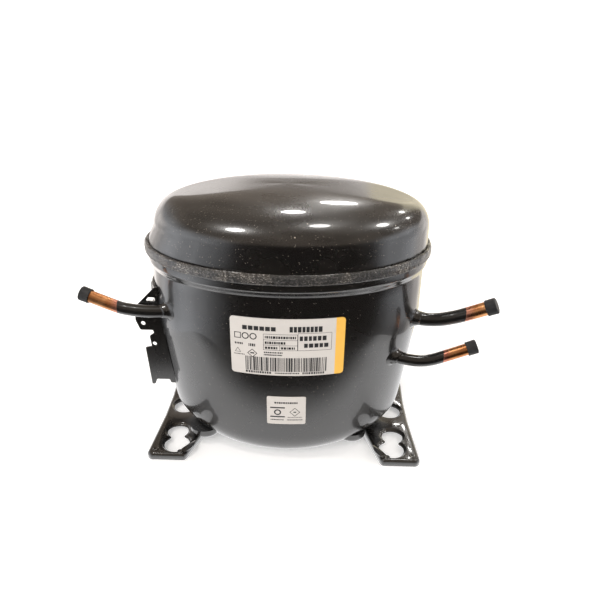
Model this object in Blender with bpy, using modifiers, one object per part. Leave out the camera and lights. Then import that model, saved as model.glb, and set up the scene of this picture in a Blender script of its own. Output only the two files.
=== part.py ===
"""Hermetic reciprocating compressor for a refrigerator or a freezer.

A pressed steel shell in two halves, welded round its seam, stands on two base plates.  Inside it
a pump hangs on four springs: an induction motor below, and a crankshaft, connecting rod and
piston above.  Metres, +Z up, the floor at z = 0, and the crankshaft's axis on the Z axis.
"""
import math

import bmesh
import bpy
from mathutils import Matrix, Vector

MM = 0.001

# General fits
GAP = 0.3 * MM                    # between pieces that rest on or are welded to each other
RUNNING_CLEARANCE = 0.08 * MM     # radial, in a round bearing
SLIDING_CLEARANCE = 0.06 * MM     # radial, of the piston in its bore
MERGE = 0.00001
ROUND_STEPS = 24
SHELL_STEPS = 36

# Shell
SHELL_THICKNESS = 3.0 * MM
SHELL_BOTTOM = 6.0 * MM
SEAM_Z = 152.4 * MM
MOUTH_HALF_LENGTH = 103.4 * MM
MOUTH_ASPECT = 0.735
STEP_TOP = 145.5 * MM
STEP_BOTTOM = 137.0 * MM
WALL_HALF_LENGTH = 101.0 * MM
WALL_ASPECT = 0.675
SHOULDER_Z = 104.0 * MM
WALL_TAPER = 0.128
SHELL_CORNER = 17.0 * MM
TOTAL_HEIGHT = 197.0 * MM
LID_INSET = 0.8 * MM              # of the lid's foot inside the lower shell's mouth
LID_FOOT_HEIGHT = 5.0 * MM        # upright part of its wall, behind the weld
LID_SAG = 1.2 / (1000 * MM)       # fall of the crown per square metre of length
LID_LEFT_CORNER = 16.4 * MM
LID_RIGHT_CORNER = 13.4 * MM
LID_SIDE_SHOULDER = 58.0 * MM
LID_SIDE_DROP = 24.6 * MM
LID_LEFT_LEAN = 5.4 * MM          # how far the walls lean in between foot and rounded edge
LID_RIGHT_LEAN = 0.3 * MM
LID_SIDE_LEAN = 0.7 * MM
BEAD_HEIGHT = 8.0 * MM
BEAD_THICKNESS = 1.7 * MM

# Base plates
PLATE_HEIGHT = 5.5 * MM
PLATE_SHEET = 2.5 * MM
PLATE_HALF_DEPTH = 65.0 * MM
PLATE_TIP_INNER = 73.0 * MM
PLATE_TIP_OUTER = 102.5 * MM
PLATE_WAIST_OUTER = 98.0 * MM
PLATE_WAIST_INNER = 60.0 * MM
PLATE_CHAMFER = 5.0 * MM
INNER_HOLE_X = 85.0 * MM
INNER_HOLE_Y = 35.0 * MM
INNER_HOLE_RADIUS = 8.0 * MM
OUTER_HOLE_X = 82.55 * MM
OUTER_HOLE_Y = 50.8 * MM
OUTER_HOLE_RADIUS = 9.5 * MM
KEYHOLE_NECK = 10.3 * MM
MIDDLE_HOLE_X = 86.0 * MM
MIDDLE_HOLE_RADIUS = 7.5 * MM

# Tubes through the shell
TUBE_WALL = 0.8 * MM
SUCTION_RADIUS = 5.0 * MM
PROCESS_RADIUS = 4.3 * MM
DISCHARGE_RADIUS = 4.5 * MM
SUCTION_ROUTE = [(80, -20.6, 103.4), (95, -22.4, 103.3), (105, -23.8, 103.0), (113.4, -25.6, 104.2),
                 (121, -27.4, 106.6), (128.8, -29.5, 110.0), (148.5, -35.5, 120.5)]
PROCESS_ROUTE = [(67, -34.5, 78.6), (81, -37.6, 78.4), (91, -39.2, 77.3), (99, -40, 77.0),
                 (107, -40, 78.1), (115.5, -40, 81.1), (137.2, -40, 89.8)]
DISCHARGE_ROUTE = [(-72, -33.4, 110.6), (-85, -36.2, 110.8), (-95, -37.2, 110.7), (-104.0, -37.2, 110.9),
                   (-113, -36.4, 111.5), (-121.8, -35.2, 113.0), (-146.8, -31.2, 120.7)]
CAP_LENGTH = 7.6 * MM
CAP_WALL = 0.6 * MM
CAP_END = 1.6 * MM
COLLAR_WIDTH = 2.4 * MM
COLLAR_LENGTH = 9.0 * MM

# Electrical terminal and its fence
TERMINAL_Z = 92.0 * MM
TERMINAL_RADIUS = 14.5 * MM
TERMINAL_DEPTH = 9.0 * MM
TERMINAL_FLOOR = 2.5 * MM
PIN_CIRCLE = 6.0 * MM
PIN_RADIUS = 1.15 * MM
PIN_LENGTH = 22.0 * MM
GLASS_RADIUS = 10.5 * MM
FENCE_SHEET = 1.6 * MM
FENCE_HALF_WIDTH = 25.0 * MM
FENCE_BOTTOM = 46.0 * MM
FENCE_TOP = 124.0 * MM
FENCE_WINDOW = 19.0 * MM

# Labels on the front
LABEL_SHEET = 0.25 * MM
RATING_LABEL = (78.0 * MM, 45.0 * MM)
RATING_PLACE = (2.8 * MM, 100.0 * MM)
SMALL_LABEL = (28.0 * MM, 25.0 * MM)
SMALL_PLACE = (2.2 * MM, 46.5 * MM)

# Motor
STATOR_HALF = 47.0 * MM
STATOR_CHAMFER = 8.0 * MM
STATOR_BOTTOM = 45.0 * MM
STATOR_TOP = 90.0 * MM
ROTOR_RADIUS = 27.8 * MM
AIR_GAP = 0.5 * MM
SLOT_COUNT = 24
SLOT_MOUTH = 2.0 * MM
SLOT_WIDTH = 3.6 * MM
SLOT_TOP_RADIUS = ROTOR_RADIUS + 2.7 * MM
SLOT_ROOT_RADIUS = ROTOR_RADIUS + 11.2 * MM
WINDING_INNER = ROTOR_RADIUS + 3.0 * MM
WINDING_OUTER = ROTOR_RADIUS + 14.2 * MM
LOWER_WINDING_HEIGHT = 15.0 * MM
UPPER_WINDING_HEIGHT = 10.5 * MM
END_RING_RADII = (ROTOR_RADIUS - 10.3 * MM, ROTOR_RADIUS - 1.8 * MM)
END_RING_HEIGHT = 6.0 * MM
BALANCE_HEIGHT = 6.0 * MM
BAR_COUNT = 8
BAR_CIRCLE = ROTOR_RADIUS - 5.3 * MM
BAR_RADIUS = 1.8 * MM
BOLT_X = 38.0 * MM
BOLT_Y = 36.0 * MM
BOLT_RADIUS = 2.5 * MM

# Crank mechanism
CRANK_THROW = 8.4 * MM
JOURNAL_RADIUS = 8.0 * MM
JOURNAL_BOTTOM = 38.0 * MM
CRANKPIN_RADIUS = 6.0 * MM
WEB_THICKNESS = 5.2 * MM
WEB_RADIUS = 24.0 * MM
BORE_RADIUS = 12.5 * MM
BORE_Z = 137.0 * MM
ROD_REACH = 44.2 * MM             # from the crankshaft's axis to the wrist pin at mid stroke
ROD_THICKNESS = 9.0 * MM
BIG_END_RADIUS = 10.5 * MM
SMALL_END_WALL = 2.1 * MM
OPEN_PIVOT_OFFSET = 1.23 * MM     # half of what the small end drifts over the modelled swing
OPEN_PIVOT_CLEARANCE = 1.4 * MM
SHANK_WIDTH = 6.5 * MM
WRIST_PIN_RADIUS = 3.0 * MM
PISTON_LENGTH = 22.0 * MM
PISTON_CROWN = 4.2 * MM
SKIRT_WALL = 2.65 * MM
WRIST_TO_CROWN = 11.5 * MM
TOP_CLEARANCE = 0.8 * MM
BALL_COUNT = 8
BALL_RADIUS = 1.6 * MM
BALL_CIRCLE = JOURNAL_RADIUS + 4.0 * MM
RACE_THICKNESS = 1.0 * MM
RACE_RADII = (JOURNAL_RADIUS + 1.0 * MM, JOURNAL_RADIUS + 7.0 * MM)
CAGE_THICKNESS = 1.2 * MM
PICKUP_RADIUS = 3.6 * MM
PICKUP_BOTTOM = 15.5 * MM

# Crankcase and cylinder head
PLATFORM_BOTTOM = 102.0 * MM
PLATFORM_THICKNESS = 10.0 * MM
PLATFORM_HALF = (45.5 * MM, 43.0 * MM)
HUB_RADIUS = JOURNAL_RADIUS + 7.0 * MM
HUB_LENGTH = 5.0 * MM
LEG_RADIUS = 6.5 * MM
BLOCK_START = 26.5 * MM
BLOCK_HALF = 20.0 * MM
HEAD_BOLT_OFFSET = 15.6 * MM
HEAD_BOLT_RADIUS = 2.4 * MM
HEAD_BOLT_LENGTH = 34.0 * MM
GASKET_THICKNESS = 0.6 * MM
GASKET_OPENING = BORE_RADIUS + 1.1 * MM
VALVE_PLATE_THICKNESS = 3.5 * MM
REED_THICKNESS = 0.3 * MM
REED_WIDTH = 6.0 * MM
REED_LENGTH = 17.0 * MM
REED_LIFT = 4.0                   # degrees that a leaf valve opens
REED_OFFSET = 4.5 * MM
PORT_RADIUS = 2.4 * MM
STOP_THICKNESS = 1.0 * MM
HEAD_THICKNESS = 13.0 * MM
HEAD_WALL = 3.0 * MM

# Mufflers, springs and the inner lines
MUFFLER_MIN = Vector((8.0, -53.0, 122.0)) * MM
MUFFLER_MAX = Vector((49.0, -25.0, 165.0)) * MM
MUFFLER_NECK = 9.0 * MM
DOME_PLACE = Vector((10.0, 30.3)) * MM
DOME_RADIUS = 12.0 * MM
DOME_HEIGHT = 20.0 * MM
SHOCK_RADIUS = 1.9 * MM
SHOCK_HALF_LENGTH = 78.0 * MM
SHOCK_HALF_WIDTH = 51.0 * MM
SPRING_RADIUS = 5.8 * MM
SPRING_WIRE = 0.75 * MM
SPRING_TURNS = 4.0
SPRING_BOTTOM = 15.2 * MM
SPRING_TOP = 40.0 * MM
SEAT_RADIUS = 6.8 * MM
SEAT_PIN_RADIUS = 4.0 * MM
SEAT_PIN_LENGTH = 4.6 * MM
SEAT_FLANGE = 1.8 * MM
PLUG_SIZE = Vector((8.0, 19.0, 17.0)) * MM
LEAD_RADIUS = 1.8 * MM

# Sizes that follow from those above
LID_BOTTOM = SEAM_Z + GAP
LID_HALF_LENGTH = MOUTH_HALF_LENGTH - LID_INSET
LID_HALF_WIDTH = MOUTH_HALF_LENGTH * MOUTH_ASPECT - LID_INSET
STATOR_BORE = ROTOR_RADIUS + AIR_GAP
PLATFORM_TOP = PLATFORM_BOTTOM + PLATFORM_THICKNESS
LOWER_RACE_Z = PLATFORM_TOP + GAP
BALL_Z = LOWER_RACE_Z + RACE_THICKNESS + GAP + BALL_RADIUS
UPPER_RACE_Z = BALL_Z + BALL_RADIUS + GAP
WEB_Z = UPPER_RACE_Z + RACE_THICKNESS + GAP
CRANKPIN_TOP = BORE_Z + ROD_THICKNESS / 2 + 4.0 * MM
BLOCK_END = ROD_REACH + WRIST_TO_CROWN + CRANK_THROW + TOP_CLEARANCE
BLOCK_TOP = BORE_Z + BLOCK_HALF
VALVE_PLATE_X = BLOCK_END + GASKET_THICKNESS + 2 * GAP
HEAD_GASKET_X = VALVE_PLATE_X + VALVE_PLATE_THICKNESS + GAP
HEAD_X = HEAD_GASKET_X + GASKET_THICKNESS + GAP
ROTOR_BORE = JOURNAL_RADIUS + GAP
PIVOT_RADIUS = WRIST_PIN_RADIUS + OPEN_PIVOT_CLEARANCE


# --- collections, materials and plain shapes -----------------------------------------------

def clear_scene():
    for obj in list(bpy.data.objects):
        bpy.data.objects.remove(obj)


def make_collection(name):
    group = bpy.data.collections.new(name)
    bpy.context.scene.collection.children.link(group)
    return group


def make_material(name, colour, roughness, metallic=0.0):
    material = bpy.data.materials.new(name)
    material.use_nodes = True
    shader = material.node_tree.nodes["Principled BSDF"]
    shader.inputs["Base Color"].default_value = (*colour, 1.0)
    shader.inputs["Roughness"].default_value = roughness
    shader.inputs["Metallic"].default_value = metallic
    return material


def add_object(name, data, finish=None, location=(0, 0, 0), smooth=True):
    """Links data as a part, or as a cutter when it has no finish."""
    obj = bpy.data.objects.new(name, data)
    obj.location = location
    if finish is None:
        cutters.objects.link(obj)
        obj.hide_render = True
        obj.display_type = "WIRE"
        return obj
    parts.objects.link(obj)
    data.materials.append(make_material(name, *finish))
    if smooth and isinstance(data, bpy.types.Mesh):
        data.shade_smooth()
        data.set_sharp_from_angle(angle=math.radians(35))
    return obj


def mesh_from(bm, name):
    bmesh.ops.recalc_face_normals(bm, faces=bm.faces)
    mesh = bpy.data.meshes.new(name)
    bm.to_mesh(mesh)
    bm.free()
    return mesh


def box(name, low, high, finish=None, bevel=0.0):
    low = Vector(low)
    size = Vector(high) - low
    bm = bmesh.new()
    bmesh.ops.create_cube(bm, size=1.0)
    bmesh.ops.scale(bm, vec=size, verts=bm.verts)
    bmesh.ops.translate(bm, vec=low + size / 2, verts=bm.verts)
    obj = add_object(name, mesh_from(bm, name), finish, smooth=False)
    if bevel:
        soften = obj.modifiers.new("Edges", "BEVEL")
        soften.width = bevel
        soften.segments = 2
        soften.limit_method = "ANGLE"
    return obj


def turning(axis):
    """Rotation that lays a shape turned about +Z along axis."""
    return Vector((0, 0, 1)).rotation_difference(Vector(axis)).to_euler()


def cylinder(name, radius, start, end, finish=None, steps=ROUND_STEPS):
    start = Vector(start)
    along = Vector(end) - start
    bm = bmesh.new()
    bmesh.ops.create_cone(bm, cap_ends=True, segments=steps, radius1=radius, radius2=radius,
                          depth=along.length)
    obj = add_object(name, mesh_from(bm, name), finish, location=start + along / 2)
    obj.rotation_euler = turning(along)
    return obj


def turned(name, profile, finish=None, steps=ROUND_STEPS, closed=True, location=(0, 0, 0),
           axis=(0, 0, 1)):
    """Turns (radius, height) points, given down the outer side, about +Z and then onto axis."""
    mesh = bpy.data.meshes.new(name)
    edges = [(i, i + 1) for i in range(len(profile) - 1)]
    if closed:
        edges.append((len(profile) - 1, 0))
    mesh.from_pydata([(r, 0, z) for r, z in profile], edges, [])
    obj = add_object(name, mesh, finish, location=location, smooth=False)
    obj.rotation_euler = turning(axis)
    screw = obj.modifiers.new("Turn", "SCREW")
    screw.steps = steps
    screw.render_steps = steps
    screw.use_merge_vertices = True
    screw.merge_threshold = MERGE
    screw.use_smooth_shade = True
    return obj


def ring(name, inner, outer, bottom, top, finish=None, **where):
    return turned(name, [(outer, top), (outer, bottom), (inner, bottom), (inner, top)], finish,
                  **where)


def baked(obj):
    """Replaces an object's curve or modifiers by the closed mesh that they make."""
    bpy.context.view_layer.update()
    depsgraph = bpy.context.evaluated_depsgraph_get()
    mesh = bpy.data.meshes.new_from_object(obj.evaluated_get(depsgraph))
    bm = bmesh.new()
    bm.from_mesh(mesh)
    bmesh.ops.remove_doubles(bm, verts=bm.verts, dist=MERGE)
    bmesh.ops.recalc_face_normals(bm, faces=bm.faces)
    bm.to_mesh(mesh)
    bm.free()
    name = obj.name
    solid = bpy.data.objects.new(name, mesh)
    solid.matrix_world = obj.matrix_world
    solid.hide_render = obj.hide_render
    solid.display_type = obj.display_type
    for group in obj.users_collection:
        group.objects.link(solid)
    bpy.data.objects.remove(obj)
    solid.name = name
    return solid


def plate(name, outlines, bottom, thickness, finish=None):
    """Extrudes flat (x, y) outlines upwards; an outline inside another one is a hole."""
    curve = bpy.data.curves.new(name, "CURVE")
    curve.dimensions = "2D"
    curve.fill_mode = "BOTH"
    curve.extrude = thickness / 2
    for outline in outlines:
        spline = curve.splines.new("POLY")
        spline.points.add(len(outline) - 1)
        for point, (x, y) in zip(spline.points, outline):
            point.co = (x, y, 0, 1)
        spline.use_cyclic_u = True
    obj = add_object(name, curve, finish, location=(0, 0, bottom + thickness / 2))
    return baked(obj)


def wire(name, points, radius, finish=None, sides_level=2):
    curve = bpy.data.curves.new(name, "CURVE")
    curve.dimensions = "3D"
    curve.bevel_depth = radius
    curve.bevel_resolution = sides_level
    curve.use_fill_caps = True
    spline = curve.splines.new("POLY")
    spline.points.add(len(points) - 1)
    for point, co in zip(spline.points, points):
        point.co = (*co, 1)
    return baked(add_object(name, curve, finish))


def combine(obj, other, operation):
    step = obj.modifiers.new(other.name, "BOOLEAN")
    step.operation = operation
    step.object = other


def cut(obj, *others):
    for other in others:
        combine(obj, other, "DIFFERENCE")


def join(obj, *others):
    for other in others:
        combine(obj, other, "UNION")


# --- curves and outlines --------------------------------------------------------------------

def arc(centre, radius, start, end, steps):
    """Points on a circle from one angle to another, in degrees, both ends included."""
    angles = [math.radians(start + (end - start) * i / steps) for i in range(steps + 1)]
    return [(centre[0] + radius * math.cos(t), centre[1] + radius * math.sin(t)) for t in angles]


def circle(centre, radius, steps=ROUND_STEPS):
    return arc(centre, radius, 0, 360 - 360 / steps, steps - 1)


def smooth_route(points, pieces=2):
    """A curve through the points, each stretch cut into short straight pieces."""
    ends = [points[0] * 2 - points[1]] + points + [points[-1] * 2 - points[-2]]
    route = []
    for i in range(1, len(ends) - 2):
        before, start, end, after = ends[i - 1:i + 3]
        for k in range(pieces):
            t = k / pieces
            route.append(0.5 * (2 * start + (end - before) * t
                                + (2 * before - 5 * start + 4 * end - after) * t * t
                                + (3 * start - before - 3 * end + after) * t * t * t))
    return route + [points[-1]]


def blend(low, high, share):
    return low + (high - low) * share


def soft_step(share):
    share = min(max(share, 0.0), 1.0)
    return share * share * (3 - 2 * share)


def wall_half_length(z):
    """Half the length of the lower shell's outside at height z."""
    wall = WALL_HALF_LENGTH - WALL_TAPER * max(SHOULDER_Z - z, 0.0)
    height = max(z - SHELL_BOTTOM, 0.0)
    if height < SHELL_CORNER:
        wall -= SHELL_CORNER - math.sqrt(SHELL_CORNER ** 2 - (SHELL_CORNER - height) ** 2)
    flare = soft_step((z - STEP_BOTTOM) / (STEP_TOP - STEP_BOTTOM))
    return blend(wall, MOUTH_HALF_LENGTH, flare)


def wall_aspect(z):
    """Width of the lower shell's outside over its length at height z."""
    flare = soft_step((z - STEP_BOTTOM) / (STEP_TOP - STEP_BOTTOM))
    return blend(WALL_ASPECT, MOUTH_ASPECT, flare)


def wall_profile(offset=0.0):
    corner = [SHELL_BOTTOM + SHELL_CORNER * (1 - math.cos(math.radians(t))) for t in (90, 62, 38, 16)]
    heights = [SEAM_Z, STEP_TOP, blend(STEP_BOTTOM, STEP_TOP, 0.5), STEP_BOTTOM, SHOULDER_Z] + corner
    profile = [(wall_half_length(z) + offset, z) for z in heights]
    return profile + [(wall_half_length(SHELL_BOTTOM) + offset, SHELL_BOTTOM - offset)]


def narrow(obj, aspect_at):
    """Presses a turned shape's plan from a circle to an ellipse, by height."""
    solid = baked(obj)
    for vertex in solid.data.vertices:
        vertex.co.y *= aspect_at(vertex.co.z)
    return solid


def envelope(name, offset):
    """The lower shell's outside as one solid, a little larger by offset."""
    profile = [(0, SEAM_Z)] + wall_profile(offset) + [(0, SHELL_BOTTOM - offset)]
    return narrow(turned(name, profile, steps=SHELL_STEPS, closed=False), wall_aspect)


# --- shell ----------------------------------------------------------------------------------

def make_lower_shell():
    profile = wall_profile() + [(0, SHELL_BOTTOM)]
    shell = turned("lower_shell", profile, BLACK_PAINT, SHELL_STEPS, closed=False)
    shell = narrow(shell, wall_aspect)
    wall = shell.modifiers.new("Wall", "SOLIDIFY")
    wall.thickness = SHELL_THICKNESS
    wall.offset = -1
    wall.use_even_offset = True
    return shell


def lid_rows():
    """Rows of points on the lid's outside, from its lower edge up to the crown."""
    angles = [2 * math.pi * i / SHELL_STEPS for i in range(SHELL_STEPS)]
    corner = [math.radians(t) for t in (0, 24, 48, 70, 90)]
    rows = [[Vector((LID_HALF_LENGTH * math.cos(a), LID_HALF_WIDTH * math.sin(a), z)) for a in angles]
            for z in (LID_BOTTOM, LID_BOTTOM + LID_FOOT_HEIGHT)]
    for turn in corner:
        rows.append([lid_corner_point(angle, turn) for angle in angles])
    rim = rows[-1]
    for share in (0.7, 0.35):
        rows.append([Vector((p.x * share, p.y * share, crown(p.x * share))) for p in rim])
    return rows


def crown(x):
    return TOTAL_HEIGHT - LID_SAG * x * x


def lid_corner_point(angle, turn):
    """Point on the lid's rounded edge; the edge is tight at the ends and wide at the sides."""
    side = math.sin(angle) ** 2
    right = (1 + math.cos(angle)) / 2
    corner = blend(LID_LEFT_CORNER, LID_RIGHT_CORNER, right)
    lean = blend(blend(LID_LEFT_LEAN, LID_RIGHT_LEAN, right), LID_SIDE_LEAN, side)
    across = blend(corner, LID_SIDE_SHOULDER, side) * (1 - math.cos(turn)) + lean
    down = blend(corner, LID_SIDE_DROP, side) * (1 - math.sin(turn))
    rim = Vector((LID_HALF_LENGTH * math.cos(angle), LID_HALF_WIDTH * math.sin(angle)))
    outward = Vector((rim.x / LID_HALF_LENGTH ** 2, rim.y / LID_HALF_WIDTH ** 2)).normalized()
    place = rim - outward * across
    return Vector((place.x, place.y, crown(place.x) - down))


def make_upper_shell():
    bm = bmesh.new()
    rows = [[bm.verts.new(point) for point in row] for row in lid_rows()]
    for lower, upper in zip(rows, rows[1:]):
        for i in range(SHELL_STEPS):
            j = (i + 1) % SHELL_STEPS
            bm.faces.new((lower[i], lower[j], upper[j], upper[i]))
    top = bm.verts.new((0, 0, TOTAL_HEIGHT))
    for i in range(SHELL_STEPS):
        bm.faces.new((rows[-1][i], rows[-1][(i + 1) % SHELL_STEPS], top))
    lid = add_object("upper_shell", mesh_from(bm, "upper_shell"), BLACK_PAINT)
    wall = lid.modifiers.new("Wall", "SOLIDIFY")
    wall.thickness = SHELL_THICKNESS
    wall.offset = -1
    wall.use_even_offset = True
    return lid


def make_seam_weld():
    inner = MOUTH_HALF_LENGTH + GAP
    outer = inner + BEAD_THICKNESS
    low = SEAM_Z - 3.0 * MM
    high = low + BEAD_HEIGHT
    ease = BEAD_HEIGHT / 4
    profile = [(inner + ease / 4, high), (outer, high - ease), (outer, low + ease), (inner + ease / 4, low),
               (inner, low + ease / 4), (inner, high - ease / 4)]
    bead_aspect = (MOUTH_HALF_LENGTH * MOUTH_ASPECT + GAP) / MOUTH_HALF_LENGTH
    narrow(turned("seam_weld", profile, WELD_BLACK, SHELL_STEPS), lambda z: bead_aspect)


# --- base plates ----------------------------------------------------------------------------

def half_outline(side, inset):
    """Right-hand half (x > 0) or left-hand copy of a base plate's outline, shrunk by inset."""
    tip = PLATE_HALF_DEPTH - inset
    outer = PLATE_TIP_OUTER - inset
    inner = PLATE_TIP_INNER + inset
    bevel = PLATE_CHAMFER
    front = [(PLATE_WAIST_INNER + inset, -18 * MM), (inner - 6 * MM, -42 * MM), (inner, -tip + 4 * MM),
             (inner + 2 * MM, -tip), (outer - bevel, -tip), (outer, -tip + bevel),
             (PLATE_WAIST_OUTER - inset, -14 * MM)]
    back = [(x, -y) for x, y in reversed(front)]
    return [(side * x, y) for x, y in front + back]


def keyhole(side, end):
    """Two round holes joined by a neck, for a large or a small rubber grommet."""
    near = Vector((side * INNER_HOLE_X, end * INNER_HOLE_Y))
    far = Vector((side * OUTER_HOLE_X, end * OUTER_HOLE_Y))
    heading = math.degrees(math.atan2(far.y - near.y, far.x - near.x))
    near_turn = math.degrees(math.asin(KEYHOLE_NECK / 2 / INNER_HOLE_RADIUS))
    far_turn = math.degrees(math.asin(KEYHOLE_NECK / 2 / OUTER_HOLE_RADIUS))
    first = arc(near, INNER_HOLE_RADIUS, heading + near_turn, heading + 360 - near_turn, 10)
    second = arc(far, OUTER_HOLE_RADIUS, heading + 180 + far_turn, heading + 540 - far_turn, 10)
    return first + second


def make_base_plate(name, side):
    holes = [keyhole(side, -1), keyhole(side, 1),
             circle((side * MIDDLE_HOLE_X, 0), MIDDLE_HOLE_RADIUS, 16)]
    foot = plate(name, [half_outline(side, 0)] + holes, 0, PLATE_HEIGHT, BLACK_PAINT)
    pocket = plate(name + "_pocket", [half_outline(side, PLATE_SHEET)], -MM,
                   PLATE_HEIGHT - PLATE_SHEET + MM)
    cut(foot, pocket)


# --- tubes, collars and caps ----------------------------------------------------------------

def make_tube(kind, route, radius, shell, skin):
    points = smooth_route([Vector(p) * MM for p in route])
    out = (points[-1] - points[-2]).normalized()
    back = (points[0] - points[1]).normalized()
    tube = wire(kind + "_tube", points, radius, COPPER)
    bore_points = [points[0] + back * MM] + points[1:-1] + [points[-1] + out * MM]
    cut(tube, wire(kind + "_tube_bore", bore_points, radius - TUBE_WALL))
    cut(shell, wire(kind + "_tube_hole", points, radius + GAP))
    make_collar(kind, points, radius, skin)
    make_cap(kind, points[-1], out, radius)


def make_collar(kind, points, radius, skin):
    """Brazed ring round the tube, shaped to the wall where the tube leaves it."""
    exit_at = next(p for p in points if outside_wall(p))
    along = (points[4] - points[1]).normalized()
    start = exit_at - along * COLLAR_LENGTH / 2
    inner = radius + GAP
    profile = [(inner + COLLAR_WIDTH / 2, COLLAR_LENGTH), (inner + COLLAR_WIDTH, COLLAR_LENGTH * 0.6),
               (inner + COLLAR_WIDTH, 0), (inner, 0), (inner, COLLAR_LENGTH)]
    collar = turned(kind + "_collar", profile, BLACK_PAINT, 16, location=start, axis=along)
    cut(collar, skin, wire(kind + "_collar_bore", points, inner))


def outside_wall(point):
    length = wall_half_length(point.z)
    return math.hypot(point.x / length, point.y / (length * wall_aspect(point.z))) > 1


def make_cap(kind, tip, out, radius):
    inner = radius + GAP
    outer = inner + CAP_WALL
    end = GAP + CAP_END
    start = end - CAP_LENGTH
    profile = [(0, end), (outer - 0.8 * MM, end), (outer, end - 0.8 * MM), (outer, start),
               (inner, start), (inner, GAP), (0, GAP)]
    turned(kind + "_cap", profile, RUBBER, 20, closed=False, location=tip, axis=out)


# --- electrical terminal --------------------------------------------------------------------

def terminal_x():
    return -wall_half_length(TERMINAL_Z)


def pin_places():
    centre = Vector((terminal_x(), 0, TERMINAL_Z))
    return [centre + Vector((0, y, z)) for y, z in circle((0, 0), PIN_CIRCLE, 3)]


def make_terminal(shell):
    centre = Vector((terminal_x(), 0, TERMINAL_Z))
    out = Vector((-1, 0, 0))
    inner_end = centre - out * TERMINAL_DEPTH / 2
    outer_end = centre + out * TERMINAL_DEPTH / 2
    cut(shell, cylinder("terminal_hole", TERMINAL_RADIUS + GAP, inner_end - out * 9 * MM,
                        outer_end + out * 9 * MM))
    radius = TERMINAL_RADIUS
    inside = radius - 1.5 * MM
    seat = GLASS_RADIUS + GAP
    turned("terminal_cup", [(radius, TERMINAL_DEPTH), (radius, 0), (seat, 0), (seat, TERMINAL_FLOOR),
                            (inside, TERMINAL_FLOOR), (inside, TERMINAL_DEPTH)], STEEL,
           location=inner_end, axis=out)
    glass = cylinder("terminal_glass", GLASS_RADIUS, inner_end, inner_end + out * TERMINAL_FLOOR, GLASS)
    for i, place in enumerate(pin_places(), 1):
        reach = out * PIN_LENGTH / 2
        cylinder(f"terminal_pin_{i}", PIN_RADIUS, place - reach - out * MM, place + reach, STEEL, 8)
        cut(glass, cylinder(f"pin_hole_{i}", PIN_RADIUS + GAP, place - reach, place + reach, steps=8))


def make_fence(skin):
    """Sheet bracket round the terminal: a band against the shell and two cheeks."""
    half = FENCE_HALF_WIDTH
    fence = box("terminal_fence", (-0.115, -half, FENCE_BOTTOM), (-0.075, half, FENCE_TOP), BLACK_PAINT)
    combine(fence, envelope("fence_outside", GAP + FENCE_SHEET), "INTERSECT")
    outline = [(-80, 43), (-90, 43), (-91, 46), (-101, 46), (-102.5, 41.5), (-105, 41.5),
               (-107.5, 74), (-102.5, 75), (-103.5, 84), (-100, 86.5), (-100.5, 89), (-110, 89),
               (-113, 97), (-112.5, 108), (-97, 124), (-80, 124)]
    slot = [(-104, 113), (-97, 113), (-97, 116), (-102, 116)]
    hole = circle((-107.5, 94.5), 1.7, 8)
    notch = circle((-100.2, 77.4), 1.6, 8)
    outlines = [[(x * MM, z * MM) for x, z in loop] for loop in (outline, slot, hole, notch)]
    for i, y in enumerate((FENCE_SHEET / 2 - half, half - FENCE_SHEET / 2)):
        cheek = plate(f"fence_cheek_{i}", outlines, 0, FENCE_SHEET)
        cheek.matrix_world = Matrix.Translation((0, y, 0)) @ Matrix.Rotation(math.pi / 2, 4, "X")
        join(fence, cheek)
    centre = Vector((terminal_x(), 0, TERMINAL_Z))
    window = cylinder("fence_window", FENCE_WINDOW, centre - Vector((0.02, 0, 0)),
                      centre + Vector((0.02, 0, 0)))
    cut(fence, skin, window)


def make_label(name, size, place):
    """A printed sheet that follows the wall's curve."""
    bm = bmesh.new()
    bmesh.ops.create_grid(bm, x_segments=10, y_segments=3, size=0.5)
    for vertex in bm.verts:
        x = place[0] + vertex.co.x * size[0]
        z = place[1] + vertex.co.y * size[1]
        length = wall_half_length(z) + GAP
        width = wall_half_length(z) * wall_aspect(z) + GAP
        vertex.co = (x, -width * math.sqrt(1 - (x / length) ** 2), z)
    for face in bm.faces:
        if face.normal.y > 0:
            face.normal_flip()
    mesh = bpy.data.meshes.new(name)
    bm.normal_update()
    bm.to_mesh(mesh)
    bm.free()
    label = add_object(name, mesh, PAPER)
    sheet = label.modifiers.new("Sheet", "SOLIDIFY")
    sheet.thickness = LABEL_SHEET
    sheet.offset = 1


# --- motor ----------------------------------------------------------------------------------

def square_outline():
    half = STATOR_HALF
    near = half - STATOR_CHAMFER
    return [(half, near), (near, half), (-near, half), (-half, near), (-half, -near), (-near, -half),
            (near, -half), (half, -near)]


def slot_outline():
    """The stator's bore with its ring of slots."""
    points = []
    for i in range(SLOT_COUNT):
        middle = 2 * math.pi * i / SLOT_COUNT
        for radius, across in ((STATOR_BORE, -SLOT_MOUTH), (SLOT_TOP_RADIUS, -SLOT_WIDTH),
                               (SLOT_ROOT_RADIUS, -SLOT_WIDTH), (SLOT_ROOT_RADIUS, SLOT_WIDTH),
                               (SLOT_TOP_RADIUS, SLOT_WIDTH), (STATOR_BORE, SLOT_MOUTH)):
            angle = middle + math.asin(across / 2 / radius)
            points.append((radius * math.cos(angle), radius * math.sin(angle)))
    return points


def corners(x, y):
    return [(sx * x, sy * y) for sx in (1, -1) for sy in (1, -1)]


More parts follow.
